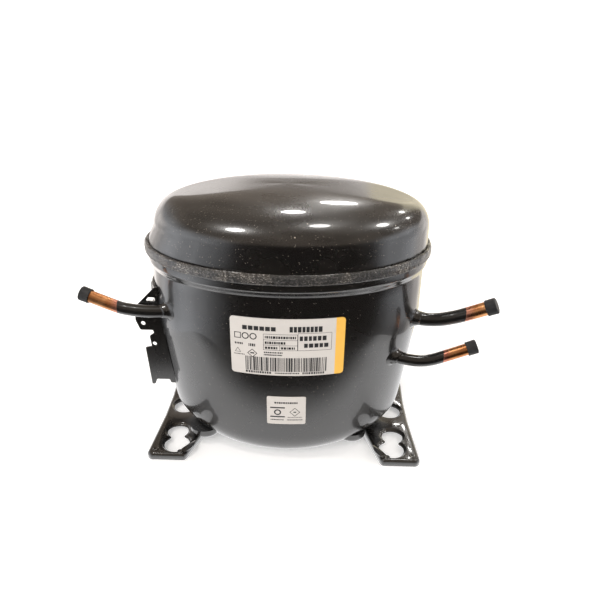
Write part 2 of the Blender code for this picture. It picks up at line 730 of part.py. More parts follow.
def make_stator():
    holes = [circle(c, BOLT_RADIUS + GAP, 10) for c in corners(BOLT_X, BOLT_Y)]
    plate("stator_core", [square_outline(), slot_outline()] + holes, STATOR_BOTTOM,
          STATOR_TOP - STATOR_BOTTOM, LAMINATION)
    lower_top = STATOR_BOTTOM - GAP
    upper_low = STATOR_TOP + GAP
    winding = ring("stator_winding", WINDING_INNER, WINDING_OUTER, lower_top - LOWER_WINDING_HEIGHT,
                   lower_top, ENAMEL)
    winding = baked(winding)
    upper = ring("upper_winding", WINDING_INNER, WINDING_OUTER, upper_low,
                 upper_low + UPPER_WINDING_HEIGHT)
    bars = bmesh.new()
    low = Vector((SLOT_TOP_RADIUS + 0.8 * MM, -(SLOT_WIDTH / 2 - GAP), lower_top - 2 * MM))
    high = Vector((SLOT_ROOT_RADIUS - GAP, SLOT_WIDTH / 2 - GAP, upper_low + 2 * MM))
    for i in range(SLOT_COUNT):
        turn = Matrix.Rotation(2 * math.pi * i / SLOT_COUNT, 4, "Z")
        place = turn @ Matrix.Translation((low + high) / 2) @ Matrix.Diagonal((*(high - low), 1))
        bmesh.ops.create_cube(bars, size=1.0, matrix=place)
    join(winding, add_object("slot_bars", mesh_from(bars, "slot_bars")), baked(upper))


def make_rotor():
    """Laminated core with a cast cage: two end rings joined by bars through the core."""
    places = circle((0, 0), BAR_CIRCLE, BAR_COUNT)
    bar_holes = [circle(place, BAR_RADIUS + GAP, 6) for place in places]
    plate("rotor_core", [circle((0, 0), ROTOR_RADIUS, 36), circle((0, 0), ROTOR_BORE)] + bar_holes,
          STATOR_BOTTOM, STATOR_TOP - STATOR_BOTTOM, LAMINATION)
    inner, outer = END_RING_RADII
    cage_bottom = STATOR_BOTTOM - GAP - END_RING_HEIGHT
    cage = ring("rotor_cage", inner, outer, cage_bottom, STATOR_BOTTOM - GAP, ALUMINIUM)
    upper = ring("upper_ring", inner, outer, STATOR_TOP + GAP, STATOR_TOP + GAP + END_RING_HEIGHT)
    bars = bmesh.new()
    for x, y in places:
        place = Matrix.Translation((x, y, (STATOR_BOTTOM + STATOR_TOP) / 2))
        bmesh.ops.create_cone(bars, cap_ends=True, segments=6, radius1=BAR_RADIUS, radius2=BAR_RADIUS,
                              depth=STATOR_TOP - STATOR_BOTTOM + 4 * MM, matrix=place)
    join(cage, add_object("cage_bars", mesh_from(bars, "cage_bars")), upper)
    sector = arc((0, 0), outer - MM, 190, 350, 12) + arc((0, 0), inner - 3 * MM, 350, 190, 8)
    plate("balance_weight", [sector], cage_bottom - GAP - BALANCE_HEIGHT, BALANCE_HEIGHT, BRASS)


def at_corners(name, profile, finish=None):
    """Four equal turned pieces, under or over the motor's corners."""
    return [turned(f"{name}_{i}", profile, finish, 10, closed=False, location=(x, y, 0))
            for i, (x, y) in enumerate(corners(BOLT_X, BOLT_Y), 1)]


def make_bolts():
    """Long bolts from the crankcase down; each head also locates the top of a spring."""
    top = PLATFORM_TOP - 2 * MM
    head_top = STATOR_BOTTOM - GAP
    head_low = SPRING_TOP + GAP
    pin_low = head_low - SEAT_PIN_LENGTH
    at_corners("stator_bolt", [(0, top), (BOLT_RADIUS, top), (BOLT_RADIUS, head_top),
                               (SEAT_RADIUS, head_top), (SEAT_RADIUS, head_low),
                               (SEAT_PIN_RADIUS, head_low), (SEAT_PIN_RADIUS, pin_low),
                               (0, pin_low)], STEEL)


# --- crank mechanism ------------------------------------------------------------------------

def make_crankshaft():
    top = WEB_Z + WEB_THICKNESS
    web = plate("crankshaft", [arc((0, 0), WEB_RADIUS, 205, 335, 14)
                               + arc((0, CRANK_THROW), BIG_END_RADIUS, -10, 190, 14)],
                WEB_Z, WEB_THICKNESS, CAST_IRON)
    journal = cylinder("main_journal", JOURNAL_RADIUS, (0, 0, JOURNAL_BOTTOM), (0, 0, WEB_Z + 2 * MM))
    pin = cylinder("crankpin", CRANKPIN_RADIUS, (0, CRANK_THROW, top - 2 * MM),
                   (0, CRANK_THROW, CRANKPIN_TOP))
    socket = cylinder("pickup_socket", PICKUP_RADIUS + GAP, (0, 0, JOURNAL_BOTTOM - MM),
                      (0, 0, JOURNAL_BOTTOM + 12 * MM), steps=12)
    join(web, journal, pin)
    cut(web, socket)
    bore = PICKUP_RADIUS - 0.9 * MM
    top = JOURNAL_BOTTOM + 10 * MM
    throat = PICKUP_BOTTOM + 9 * MM
    turned("oil_pickup", [(PICKUP_RADIUS, top), (PICKUP_RADIUS, throat), (2.6 * MM, PICKUP_BOTTOM),
                          (1.8 * MM, PICKUP_BOTTOM), (bore, throat), (bore, top)], STEEL, 12)


def make_thrust_bearing():
    inner, outer = RACE_RADII
    ring("thrust_race_lower", inner, outer, LOWER_RACE_Z, LOWER_RACE_Z + RACE_THICKNESS, STEEL)
    ring("thrust_race_upper", inner, outer, UPPER_RACE_Z, UPPER_RACE_Z + RACE_THICKNESS, STEEL)
    cage = ring("thrust_ball_cage", inner + 0.4 * MM, outer - 0.6 * MM, BALL_Z - CAGE_THICKNESS / 2,
                BALL_Z + CAGE_THICKNESS / 2, STEEL)
    balls = bmesh.new()
    for x, y in circle((0, 0), BALL_CIRCLE, BALL_COUNT):
        bmesh.ops.create_uvsphere(balls, u_segments=6, v_segments=4, radius=BALL_RADIUS,
                                  matrix=Matrix.Translation((x, y, BALL_Z)))
    join(cage, add_object("balls", mesh_from(balls, "balls")))


def make_connecting_rod():
    """Built about the crankpin's axis, which is the rod's own origin."""
    small = Vector((ROD_REACH, OPEN_PIVOT_OFFSET - CRANK_THROW, 0))
    along = small.normalized()
    side = Vector((-along.y, along.x, 0)) * SHANK_WIDTH / 2
    first = along * BIG_END_RADIUS * 0.8
    last = small - along * PIVOT_RADIUS * 1.2
    low = -ROD_THICKNESS / 2
    big = cylinder("connecting_rod", BIG_END_RADIUS, (0, 0, low), (0, 0, -low), CAST_IRON)
    shank_outline = [(first - side).xy, (last - side).xy, (last + side).xy, (first + side).xy]
    shank = plate("rod_shank", [shank_outline], low + MM, ROD_THICKNESS - 2 * MM)
    reach = Vector((0, 0, -low))
    eye = cylinder("rod_small_end", PIVOT_RADIUS + SMALL_END_WALL, small - reach, small + reach)
    pin_hole = cylinder("rod_eye", PIVOT_RADIUS, small - reach * 2, small + reach * 2)
    big_hole = cylinder("rod_big_hole", CRANKPIN_RADIUS + RUNNING_CLEARANCE, -reach * 2, reach * 2)
    join(big, shank, eye)
    cut(big, pin_hole, big_hole)
    rod = baked(big)
    rod.location = (0, CRANK_THROW, BORE_Z)
    for piece in (shank, eye, pin_hole, big_hole):
        bpy.data.objects.remove(piece)


def make_piston():
    radius = BORE_RADIUS - SLIDING_CLEARANCE
    hollow = radius - SKIRT_WALL
    crown_x = ROD_REACH + WRIST_TO_CROWN
    tail_x = crown_x - PISTON_LENGTH
    floor_x = crown_x - PISTON_CROWN
    profile = [(0, crown_x), (radius, crown_x), (radius, tail_x), (hollow, tail_x), (hollow, floor_x),
               (0, floor_x)]
    piston = turned("piston", profile, STEEL, closed=False, location=(0, 0, BORE_Z), axis=(1, 0, 0))
    half_hole = Vector((0, 0, BORE_RADIUS + MM))
    centre = Vector((ROD_REACH, 0, BORE_Z))
    cut(piston, cylinder("wrist_pin_hole", WRIST_PIN_RADIUS + RUNNING_CLEARANCE, centre - half_hole,
                         centre + half_hole, steps=24))
    reach = Vector((0, 0, radius - MM))
    cylinder("wrist_pin", WRIST_PIN_RADIUS, centre - reach, centre + reach, STEEL, steps=24)


# --- crankcase, valves and head -------------------------------------------------------------

def make_crankcase():
    half_x, half_y = PLATFORM_HALF
    bolt_holes = [circle(c, BOLT_RADIUS + GAP, 10) for c in corners(BOLT_X, BOLT_Y)]
    bevel = 8 * MM
    outline = [(half_x, half_y - bevel), (half_x - bevel, half_y), (bevel - half_x, half_y),
               (-half_x, half_y - bevel), (-half_x, bevel - half_y), (bevel - half_x, -half_y),
               (half_x - bevel, -half_y), (half_x, bevel - half_y)]
    case = plate("crankcase", [outline], PLATFORM_BOTTOM, PLATFORM_THICKNESS, CAST_IRON)
    sink = MM
    hub = cylinder("case_hub", HUB_RADIUS, (0, 0, PLATFORM_BOTTOM - HUB_LENGTH),
                   (0, 0, PLATFORM_BOTTOM + sink))
    block = box("case_block", (BLOCK_START, -BLOCK_HALF, PLATFORM_TOP - sink),
                (BLOCK_END, BLOCK_HALF, BLOCK_TOP))
    join(case, hub, block)
    for i, (x, y) in enumerate(corners(BOLT_X, BOLT_Y)):
        join(case, cylinder(f"case_leg_{i}", LEG_RADIUS, (x, y, STATOR_TOP + GAP),
                            (x, y, PLATFORM_BOTTOM + sink), steps=12))
    main_bore = cylinder("main_bore", JOURNAL_RADIUS + RUNNING_CLEARANCE,
                         (0, 0, PLATFORM_BOTTOM - HUB_LENGTH - MM), (0, 0, PLATFORM_TOP + MM))
    cylinder_bore = turned("cylinder_bore", [(0, BLOCK_END + MM), (BORE_RADIUS, BLOCK_END + MM),
                                             (BORE_RADIUS, 0), (0, 0)], closed=False,
                           location=(0, 0, BORE_Z), axis=(1, 0, 0))
    bolt_bores = plate("bolt_bores", bolt_holes, STATOR_TOP - MM,
                       PLATFORM_TOP - STATOR_TOP + 2 * MM)
    cut(case, main_bore, cylinder_bore, bolt_bores, head_bolt_bores("case_bolt_bores"))


def head_bolt_places():
    return [(y, BORE_Z + z) for y, z in corners(HEAD_BOLT_OFFSET, HEAD_BOLT_OFFSET)]


def head_bolt_span():
    back = HEAD_X + HEAD_THICKNESS + GAP
    return back - HEAD_BOLT_LENGTH, back


def head_bolt_bores(name):
    start, end = head_bolt_span()
    bm = bmesh.new()
    for y, z in head_bolt_places():
        place = Matrix.Translation(((start + end) / 2, y, z)) @ Matrix.Rotation(math.pi / 2, 4, "Y")
        bmesh.ops.create_cone(bm, cap_ends=True, segments=10, radius1=HEAD_BOLT_RADIUS + GAP,
                              radius2=HEAD_BOLT_RADIUS + GAP, depth=end - start + 2 * MM, matrix=place)
    return add_object(name, mesh_from(bm, name))


def square_sheet(name, start, thickness, finish, holes):
    """A square plate across the cylinder's axis; holes are (y, z from the axis, radius)."""
    outline = [(-BLOCK_HALF, -BLOCK_HALF), (BLOCK_HALF, -BLOCK_HALF), (BLOCK_HALF, BLOCK_HALF),
               (-BLOCK_HALF, BLOCK_HALF)]
    bolts = [circle(c, HEAD_BOLT_RADIUS + GAP, 10) for c in corners(HEAD_BOLT_OFFSET, HEAD_BOLT_OFFSET)]
    rounds = [circle((y, z), radius, 16) for y, z, radius in holes]
    sheet = plate(name, [outline] + bolts + rounds, 0, thickness, finish)
    # the sheet's x and y turn to y and z, and its thickness lies along +X
    facing = Matrix(((0, 0, 1, 0), (1, 0, 0, 0), (0, 1, 0, 0), (0, 0, 0, 1)))
    sheet.matrix_world = Matrix.Translation((start, 0, BORE_Z)) @ facing @ Matrix.Translation(
        (0, 0, thickness / 2))
    return sheet


def make_head():
    square_sheet("valve_gasket", BLOCK_END + GAP, GASKET_THICKNESS, FIBRE, [(0, 0, GASKET_OPENING)])
    ports = [(-REED_OFFSET, 0, PORT_RADIUS), (REED_OFFSET, 0, PORT_RADIUS)]
    square_sheet("valve_plate", VALVE_PLATE_X, VALVE_PLATE_THICKNESS, STEEL, ports)
    square_sheet("head_gasket", HEAD_GASKET_X, GASKET_THICKNESS, FIBRE, [(0, 0, GASKET_OPENING)])
    head = box("cylinder_head", (HEAD_X, -BLOCK_HALF, BORE_Z - BLOCK_HALF),
               (HEAD_X + HEAD_THICKNESS, BLOCK_HALF, BORE_Z + BLOCK_HALF), ALUMINIUM, bevel=1.5 * MM)
    chamber = cylinder("head_chamber", GASKET_OPENING, (HEAD_X - MM, 0, BORE_Z),
                       (HEAD_X + HEAD_THICKNESS - HEAD_WALL, 0, BORE_Z), steps=16)
    cut(head, chamber, head_bolt_bores("head_bolt_bores"))
    start, end = head_bolt_span()
    bolt_head = 4.2 * MM
    for i, (y, z) in enumerate(head_bolt_places(), 1):
        profile = [(0, 3 * MM), (bolt_head, 3 * MM), (bolt_head, 0), (HEAD_BOLT_RADIUS, 0),
                   (HEAD_BOLT_RADIUS, start - end), (0, start - end)]
        turned(f"head_bolt_{i}", profile, STEEL, 8, closed=False, location=(end, y, z),
               axis=(1, 0, 0))


def make_reeds():
    """Leaf valves: each one's origin is where it is held, which is its joint's axis."""
    half = REED_LENGTH / 2
    thick = REED_THICKNESS
    suction = box("suction_reed", (-thick, -REED_WIDTH / 2, 0), (0, REED_WIDTH / 2, REED_LENGTH),
                  SPRING_STEEL)
    suction.location = (VALVE_PLATE_X - GAP, -REED_OFFSET, BORE_Z - half)
    discharge = box("discharge_reed", (0, -REED_WIDTH / 2, -REED_LENGTH), (thick, REED_WIDTH / 2, 0),
                    SPRING_STEEL)
    start = VALVE_PLATE_X + VALVE_PLATE_THICKNESS + GAP
    discharge.location = (start, REED_OFFSET, BORE_Z + half)
    lift = REED_LENGTH * math.sin(math.radians(REED_LIFT)) + GAP
    low = start + thick + lift
    near = REED_OFFSET - REED_WIDTH / 2
    far = REED_OFFSET + REED_WIDTH / 2
    foot_low = BORE_Z + half + GAP
    foot_high = foot_low + 1.5 * MM
    stop = box("reed_stop", (low, near, BORE_Z - half), (low + STOP_THICKNESS, far, foot_high), STEEL)
    join(stop, box("reed_stop_foot", (start, near, foot_low), (low + MM / 2, far, foot_high - MM / 10)))


# --- mufflers, springs and inner lines ------------------------------------------------------

def make_mufflers():
    muffler = box("suction_muffler", MUFFLER_MIN, MUFFLER_MAX, NYLON, bevel=5 * MM)
    half = MUFFLER_NECK / 2
    neck_x = HEAD_X + HEAD_THICKNESS / 2
    neck_z = BORE_Z + 8 * MM
    neck_y = -BLOCK_HALF - GAP
    across = box("muffler_neck", (MUFFLER_MAX.x - 6 * MM, neck_y - MUFFLER_NECK, neck_z - half),
                 (neck_x + half, neck_y, neck_z + half))
    join(muffler, across)
    x, y = DOME_PLACE
    low = PLATFORM_TOP + GAP
    high = low + DOME_HEIGHT
    profile = [(0, high), (DOME_RADIUS * 0.6, high - 0.8 * MM), (DOME_RADIUS * 0.92, high - 4 * MM),
               (DOME_RADIUS, high - 8 * MM), (DOME_RADIUS, low), (DOME_RADIUS - 1.5 * MM, low),
               (DOME_RADIUS - 1.5 * MM, high - 8 * MM), (0, high - 2.5 * MM)]
    turned("discharge_muffler", profile, STEEL, 16, closed=False, location=(x, y, 0))


def make_shock_loop():
    """Thin pressure line from the discharge muffler round to the discharge tube's inner end."""
    z = PLATFORM_TOP + DOME_HEIGHT * 0.45
    start = Vector((DOME_PLACE.x - DOME_RADIUS - 3 * GAP, DOME_PLACE.y, z))
    steps = 10
    first, last = 118.0, 198.0
    loop = []
    for i in range(steps + 1):
        share = i / steps
        angle = math.radians(blend(first, last, share))
        rise = 7 * MM * math.sin(share * math.pi)
        loop.append(Vector((SHOCK_HALF_LENGTH * math.cos(angle), SHOCK_HALF_WIDTH * math.sin(angle),
                            z + rise)))
    tube_start = Vector(DISCHARGE_ROUTE[0]) * MM
    towards = (tube_start - Vector(DISCHARGE_ROUTE[1]) * MM).normalized()
    end = tube_start + towards * (GAP + MM)
    stub = start - Vector((6 * MM, 0, 0))
    route = smooth_route([start, stub] + loop + [end + towards * 8 * MM, end])
    wire("shock_loop", route, SHOCK_RADIUS, COPPER, sides_level=1)


def make_springs():
    steps = int(SPRING_TURNS * 8)
    low = SPRING_BOTTOM + SPRING_WIRE
    high = SPRING_TOP - SPRING_WIRE
    for i, (x, y) in enumerate(corners(BOLT_X, BOLT_Y), 1):
        points = []
        for k in range(steps + 1):
            angle = 2 * math.pi * SPRING_TURNS * k / steps
            points.append(Vector((x + SPRING_RADIUS * math.cos(angle),
                                  y + SPRING_RADIUS * math.sin(angle), blend(low, high, k / steps))))
        wire(f"spring_{i}", points, SPRING_WIRE, SPRING_STEEL, sides_level=1)


def make_spring_studs(shell):
    """Studs welded to the shell's floor, which hold the springs' lower ends."""
    floor = SHELL_BOTTOM + SHELL_THICKNESS - MM
    top = SPRING_BOTTOM - GAP
    profile = [(0, top + SEAT_PIN_LENGTH), (SEAT_PIN_RADIUS, top + SEAT_PIN_LENGTH),
               (SEAT_PIN_RADIUS, top), (SEAT_RADIUS, top), (SEAT_RADIUS, top - SEAT_FLANGE),
               (SEAT_PIN_RADIUS, top - SEAT_FLANGE), (SEAT_PIN_RADIUS, floor), (0, floor)]
    join(shell, *at_corners("spring_stud", profile))


def make_wiring():
    """The socket on the terminal's inner pins and the sleeve that holds the motor's leads."""
    inner_x = terminal_x() + TERMINAL_DEPTH / 2 + 2 * GAP
    centre = Vector((inner_x + PLUG_SIZE.x / 2, 0, TERMINAL_Z))
    plug = box("lead_socket", centre - PLUG_SIZE / 2, centre + PLUG_SIZE / 2, NYLON, bevel=MM)
    for i, place in enumerate(pin_places()):
        reach = Vector((PIN_LENGTH, 0, 0))
        cut(plug, cylinder(f"socket_hole_{i}", PIN_RADIUS + GAP, place - reach, place + reach, steps=8))
    start = centre + Vector((PLUG_SIZE.x / 2 + GAP, 0, PLUG_SIZE.z / 4))
    end = Vector((-WINDING_OUTER - GAP - LEAD_RADIUS, 0, STATOR_TOP + 7 * MM))
    route = [start, start + Vector((6 * MM, 0, MM)), (start + end) / 2 + Vector((2 * MM, 0, 6 * MM)),
             end + Vector((-2 * MM, 0, 3 * MM)), end - Vector((0, 0, MM))]
    wire("motor_lead", smooth_route(route), LEAD_RADIUS, FABRIC, sides_level=1)


# Finishes: colour, roughness, metallic
BLACK_PAINT = ((0.012, 0.012, 0.013), 0.16)
WELD_BLACK = ((0.02, 0.019, 0.018), 0.45)
COPPER = ((0.80, 0.42, 0.24), 0.3, 1.0)
RUBBER = ((0.015, 0.015, 0.015), 0.7)
PAPER = ((0.80, 0.78, 0.72), 0.5)
GLASS = ((0.10, 0.16, 0.15), 0.1)
STEEL = ((0.50, 0.49, 0.47), 0.35, 1.0)
SPRING_STEEL = ((0.36, 0.36, 0.37), 0.25, 1.0)
LAMINATION = ((0.25, 0.26, 0.29), 0.5, 1.0)
ENAMEL = ((0.45, 0.13, 0.05), 0.35, 0.6)
ALUMINIUM = ((0.70, 0.70, 0.71), 0.4, 1.0)
CAST_IRON = ((0.20, 0.20, 0.20), 0.6, 0.9)
BRASS = ((0.62, 0.47, 0.20), 0.4, 1.0)
FIBRE = ((0.16, 0.20, 0.17), 0.8)
NYLON = ((0.72, 0.70, 0.64), 0.5)
FABRIC = ((0.55, 0.53, 0.48), 0.9)

clear_scene()
parts = make_collection("hermetic_compressor")
cutters = make_collection("cutters")

lower_shell = make_lower_shell()
shell_skin = envelope("shell_skin", GAP)
make_upper_shell()
make_seam_weld()
make_base_plate("base_plate_right", 1)
make_base_plate("base_plate_left", -1)
make_tube("suction", SUCTION_ROUTE, SUCTION_RADIUS, lower_shell, shell_skin)
make_tube("process", PROCESS_ROUTE, PROCESS_RADIUS, lower_shell, shell_skin)
make_tube("discharge", DISCHARGE_ROUTE, DISCHARGE_RADIUS, lower_shell, shell_skin)
make_terminal(lower_shell)
make_fence(shell_skin)
make_label("rating_label", RATING_LABEL, RATING_PLACE)
make_label("notice_label", SMALL_LABEL, SMALL_PLACE)
make_stator()
make_rotor()
make_bolts()
make_crankshaft()
make_thrust_bearing()
make_connecting_rod()
make_piston()
make_crankcase()
make_head()
make_reeds()
make_mufflers()
make_shock_loop()
make_springs()
make_spring_studs(lower_shell)
make_wiring()
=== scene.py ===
import math
import random

import bmesh
import bpy
from mathutils import Matrix, Vector, noise


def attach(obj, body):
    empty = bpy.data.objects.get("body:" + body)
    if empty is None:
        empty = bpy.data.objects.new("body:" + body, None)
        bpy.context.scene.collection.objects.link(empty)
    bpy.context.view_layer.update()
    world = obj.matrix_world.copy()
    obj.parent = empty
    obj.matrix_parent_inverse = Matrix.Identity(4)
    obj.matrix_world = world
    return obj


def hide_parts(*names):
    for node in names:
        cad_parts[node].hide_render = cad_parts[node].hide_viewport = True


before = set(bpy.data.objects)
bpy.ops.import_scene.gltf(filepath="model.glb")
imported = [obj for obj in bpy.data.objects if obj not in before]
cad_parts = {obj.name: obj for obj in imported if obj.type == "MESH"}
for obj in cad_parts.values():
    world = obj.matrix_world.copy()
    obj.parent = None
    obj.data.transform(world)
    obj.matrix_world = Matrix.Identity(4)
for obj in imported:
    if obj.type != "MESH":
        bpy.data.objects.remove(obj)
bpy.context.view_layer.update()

mm = 0.001
dice = random.Random(29)


# --- shader helpers

class Value:
    # a socket that can stand in a sum
    def __init__(self, graph, socket):
        self.graph = graph
        self.socket = socket

    def maths(self, operation, first, second):
        return self.graph.node("Math", {"operation": operation}, {0: first, 1: second})

    def __add__(self, other):
        return self.maths("ADD", self, other)

    def __radd__(self, other):
        return self.maths("ADD", other, self)

    def __sub__(self, other):
        return self.maths("SUBTRACT", self, other)

    def __rsub__(self, other):
        return self.maths("SUBTRACT", other, self)

    def __mul__(self, other):
        return self.maths("MULTIPLY", self, other)

    def __rmul__(self, other):
        return self.maths("MULTIPLY", other, self)

    def __gt__(self, other):
        return self.maths("GREATER_THAN", self, other)

    def __lt__(self, other):
        return self.maths("LESS_THAN", self, other)


class Graph:
    # adds nodes to one tree and links what feeds them
    def __init__(self, tree):
        self.tree = tree

    def feed(self, socket, value):
        if isinstance(value, Value):
            self.tree.links.new(value.socket, socket)
        elif isinstance(value, tuple) and len(value) == 3 and socket.type == "RGBA":
            socket.default_value = (*value, 1.0)
        else:
            socket.default_value = value

    def node(self, kind, settings=None, values=None, out=0):
        node = self.tree.nodes.new("ShaderNode" + kind)
        for setting, value in (settings or {}).items():
            if setting == "stops":
                self.setStops(node.color_ramp, value)
            else:
                setattr(node, setting, value)
        for socket, value in (values or {}).items():
            self.feed(node.inputs[socket], value)
        return Value(self, node.outputs[out])

    def setStops(self, ramp, stops):
        while len(ramp.elements) < len(stops):
            ramp.elements.new(1.0)
        for element, (place, shade) in zip(ramp.elements, stops):
            element.position = place
            element.color = (*shade, 1.0) if isinstance(shade, tuple) else (shade, shade, shade, 1.0)

    def mix(self, share, first, second):
        return self.node("Mix", {"data_type": "RGBA"}, {0: share, 6: first, 7: second}, out=2)

    def place(self, part="Object"):
        return self.node("TexCoord", out=part)

    def along(self, axis, part="Object"):
        return self.node("SeparateXYZ", None, {0: self.place(part)}, out=axis)

    def stretched(self, scale):
        return self.node("Mapping", None, {"Vector": self.place(), "Scale": scale})

    def cloud(self, scale, detail=3.0, roughness=0.5, vector=None):
        return self.node("TexNoise", None, {"Vector": vector or self.place(), "Scale": scale,
                                            "Detail": detail, "Roughness": roughness})

    def fade(self, value, low, high):
        return self.node("MapRange", {"interpolation_type": "SMOOTHSTEP"},
                         {"Value": value, "From Min": low, "From Max": high})

    def specks(self, scale, radius, share):
        # small round spots in a random share of the cells
        cells = {"Vector": self.place(), "Scale": scale}
        near = self.node("TexVoronoi", None, cells, out="Distance")
        tint = self.node("TexVoronoi", None, cells, out="Color")
        pick = self.node("SeparateColor", None, {0: tint})
        return (near < radius) * (pick < share)


class Finish(Graph):
    # one material; fixed values go straight on the shader
    def __init__(self, name, fixed):
        self.material = bpy.data.materials.new(name)
        self.material.use_nodes = True
        super().__init__(self.material.node_tree)
        self.shader = self.tree.nodes["Principled BSDF"]
        for socket, value in fixed.items():
            self.feed(self.shader.inputs[socket], value)

    def drive(self, socket, value):
        self.feed(self.shader.inputs[socket], value)

    def bump(self, height, strength, distance=mm):
        self.drive("Normal", self.node("Bump", None, {"Strength": strength, "Distance": distance,
                                                      "Height": height}))


# --- finishes

paint = {
    "colour": (0.0052, 0.0047, 0.0042),
    "mottle": (0.0085, 0.0070, 0.0058),
    "dust": (0.34, 0.29, 0.24),
    "dustShare": 0.55,
    "baseRoughness": 0.25,
    "coatRoughness": 0.028,
}


def bakedPaint(name, dust):
    finish = Finish(name, {"Coat Weight": 1.0, "Coat Roughness": paint["coatRoughness"], "Coat IOR": 1.5,
                           "Specular IOR Level": 1.0})
    patches = finish.fade(finish.cloud(28.0, 4.0), 0.42, 0.72)
    colour = finish.mix(patches, paint["colour"], paint["mottle"])
    fine = finish.specks(700.0, 0.12, paint["dustShare"] * dust)
    coarse = finish.specks(140.0, 0.07, 0.16 * dust)
    spots = finish.node("Clamp", None, {0: fine + coarse})
    finish.drive("Base Color", finish.mix(spots, colour, paint["dust"]))
    finish.drive("Coat Weight", 1.0 - 0.9 * spots)
    finish.drive("Roughness", paint["baseRoughness"] + 0.10 * patches)
    peel = finish.cloud(240.0, 2.0, 0.4)
    finish.bump(peel + 2.0 * spots, 0.055, 0.25 * mm)
    return finish.material


def weldScale():
    finish = Finish("weldScale", {"Coat Weight": 1.0, "Coat Roughness": 0.10, "Specular IOR Level": 0.9})
    grain = finish.cloud(430.0, 6.0, 0.7)
    blotch = finish.fade(finish.cloud(70.0, 3.0), 0.45, 0.65)
    colour = finish.mix(blotch, (0.014, 0.013, 0.012), (0.060, 0.052, 0.044))
    spatter = finish.specks(420.0, 0.16, 0.16)
    # the pale flecks made here are painted glints: colour standing in for lamps caught by the bead's ripples
    glintFlecks = finish.fade(finish.cloud(800.0, 3.0, 0.6, finish.stretched((1.0, 1.0, 2.2))), 0.55, 0.63)
    paintedGlints = glintFlecks * (0.25 + 0.75 * blotch)
    # pale spatter specks are the scale's own colour; the glint flecks mixed in with them are painted
    # highlights
    finish.drive("Base Color", finish.mix(finish.node("Clamp", None, {0: spatter + paintedGlints}), colour,
                                          (0.50, 0.46, 0.41)))
    finish.drive("Roughness", 0.20 + 0.28 * grain)
    finish.drive("Metallic", 0.35 * blotch)
    finish.bump(grain + 0.8 * spatter, 1.0, 1.6 * mm)
    return finish.material


copper = {
    "bright": (0.86, 0.43, 0.19),
    "deep": (0.62, 0.24, 0.09),
    "flush": (0.66, 0.25, 0.27),
}


def drawnCopper(name, axis=None, edge=0.0, way=1):
    # bare copper; where an edge is given the tube is painted black up to it
    finish = Finish(name, {"Coat IOR": 1.5, "Coat Roughness": 0.05})
    streaks = finish.cloud(90.0, 4.0, 0.6, finish.stretched((1.0, 6.0, 6.0)))
    tarnish = finish.fade(finish.cloud(120.0, 3.0), 0.35, 0.75)
    bare = finish.mix(tarnish, copper["bright"], copper["deep"])
    if axis is None:
        finish.drive("Base Color", bare)
        finish.shader.inputs["Metallic"].default_value = 1.0
        finish.drive("Roughness", 0.20 + 0.16 * streaks)
        finish.bump(streaks, 0.12, 0.2 * mm)
        return finish.material
    ragged = finish.along(axis) * way + 0.9 * mm * finish.cloud(420.0, 2.0)
    open_ = finish.fade(ragged, edge, edge + 0.5 * mm)
    heat = 1.0 - finish.fade(ragged, edge, edge + 7.0 * mm)
    warm = finish.mix(0.55 * heat, bare, copper["flush"])
    finish.drive("Base Color", finish.mix(open_, paint["colour"], warm))
    finish.drive("Metallic", open_)
    finish.drive("Coat Weight", 1.0 - open_)
    finish.drive("Roughness", 0.32 - 0.10 * open_ + 0.14 * streaks * open_)
    finish.bump(streaks, 0.10, 0.2 * mm)
    return finish.material


def moulded(name, colour, other, roughness, grainScale, grainDepth=0.25):
    # rubber, nylon, fibre: a soft two-tone cloud and a fine grain
    finish = Finish(name, {"Specular IOR Level": 0.4})
    cloud = finish.fade(finish.cloud(60.0, 3.0), 0.35, 0.7)
    finish.drive("Base Color", finish.mix(cloud, colour, other))
    grain = finish.cloud(grainScale, 3.0, 0.6)
    finish.drive("Roughness", roughness - 0.08 + 0.16 * grain)
    finish.bump(grain, grainDepth, 0.3 * mm)
    return finish.material


def metal(name, colour, dark, roughness, grainScale, grainDepth, stretch=(1.0, 1.0, 1.0)):
    finish = Finish(name, {"Metallic": 1.0})
    stain = finish.fade(finish.cloud(45.0, 4.0), 0.4, 0.75)
    finish.drive("Base Color", finish.mix(stain, colour, dark))
    grain = finish.cloud(grainScale, 4.0, 0.6, finish.stretched(stretch))
    finish.drive("Roughness", roughness - 0.08 + 0.18 * grain)
    finish.bump(grain, grainDepth, 0.3 * mm)
    return finish.material


def laminated():
    # stacked sheets, each half a millimetre thick
    finish = Finish("laminatedSteel", {"Metallic": 0.9})
    seams = finish.node("TexWave", {"bands_direction": "Z", "wave_profile": "SIN"},
                        {"Vector": finish.place(), "Scale": 314.0, "Distortion": 0.4, "Detail": 1.0}, out=1)
    rust = finish.fade(finish.cloud(55.0, 4.0), 0.5, 0.75)
    finish.drive("Base Color", finish.mix(rust, (0.25, 0.26, 0.29), (0.20, 0.13, 0.09)))
    finish.drive("Roughness", 0.42 + 0.2 * seams)
    finish.bump(seams, 0.5, 0.15 * mm)
    return finish.material


def enamelledWire():
    finish = Finish("enamelledWire", {"Coat Weight": 0.6, "Coat Roughness": 0.15})
    turns = finish.node("TexWave", {"wave_type": "RINGS", "rings_direction": "Z"},
                        {"Vector": finish.place(), "Scale": 190.0, "Distortion": 1.6, "Detail": 2.0}, out=1)
    finish.drive("Base Color", finish.mix(turns, (0.20, 0.045, 0.015), (0.60, 0.20, 0.06)))
    finish.drive("Metallic", 0.7 * turns)
    finish.drive("Roughness", 0.42 - 0.15 * turns)
    finish.bump(turns, 0.9, 0.4 * mm)
    return finish.material


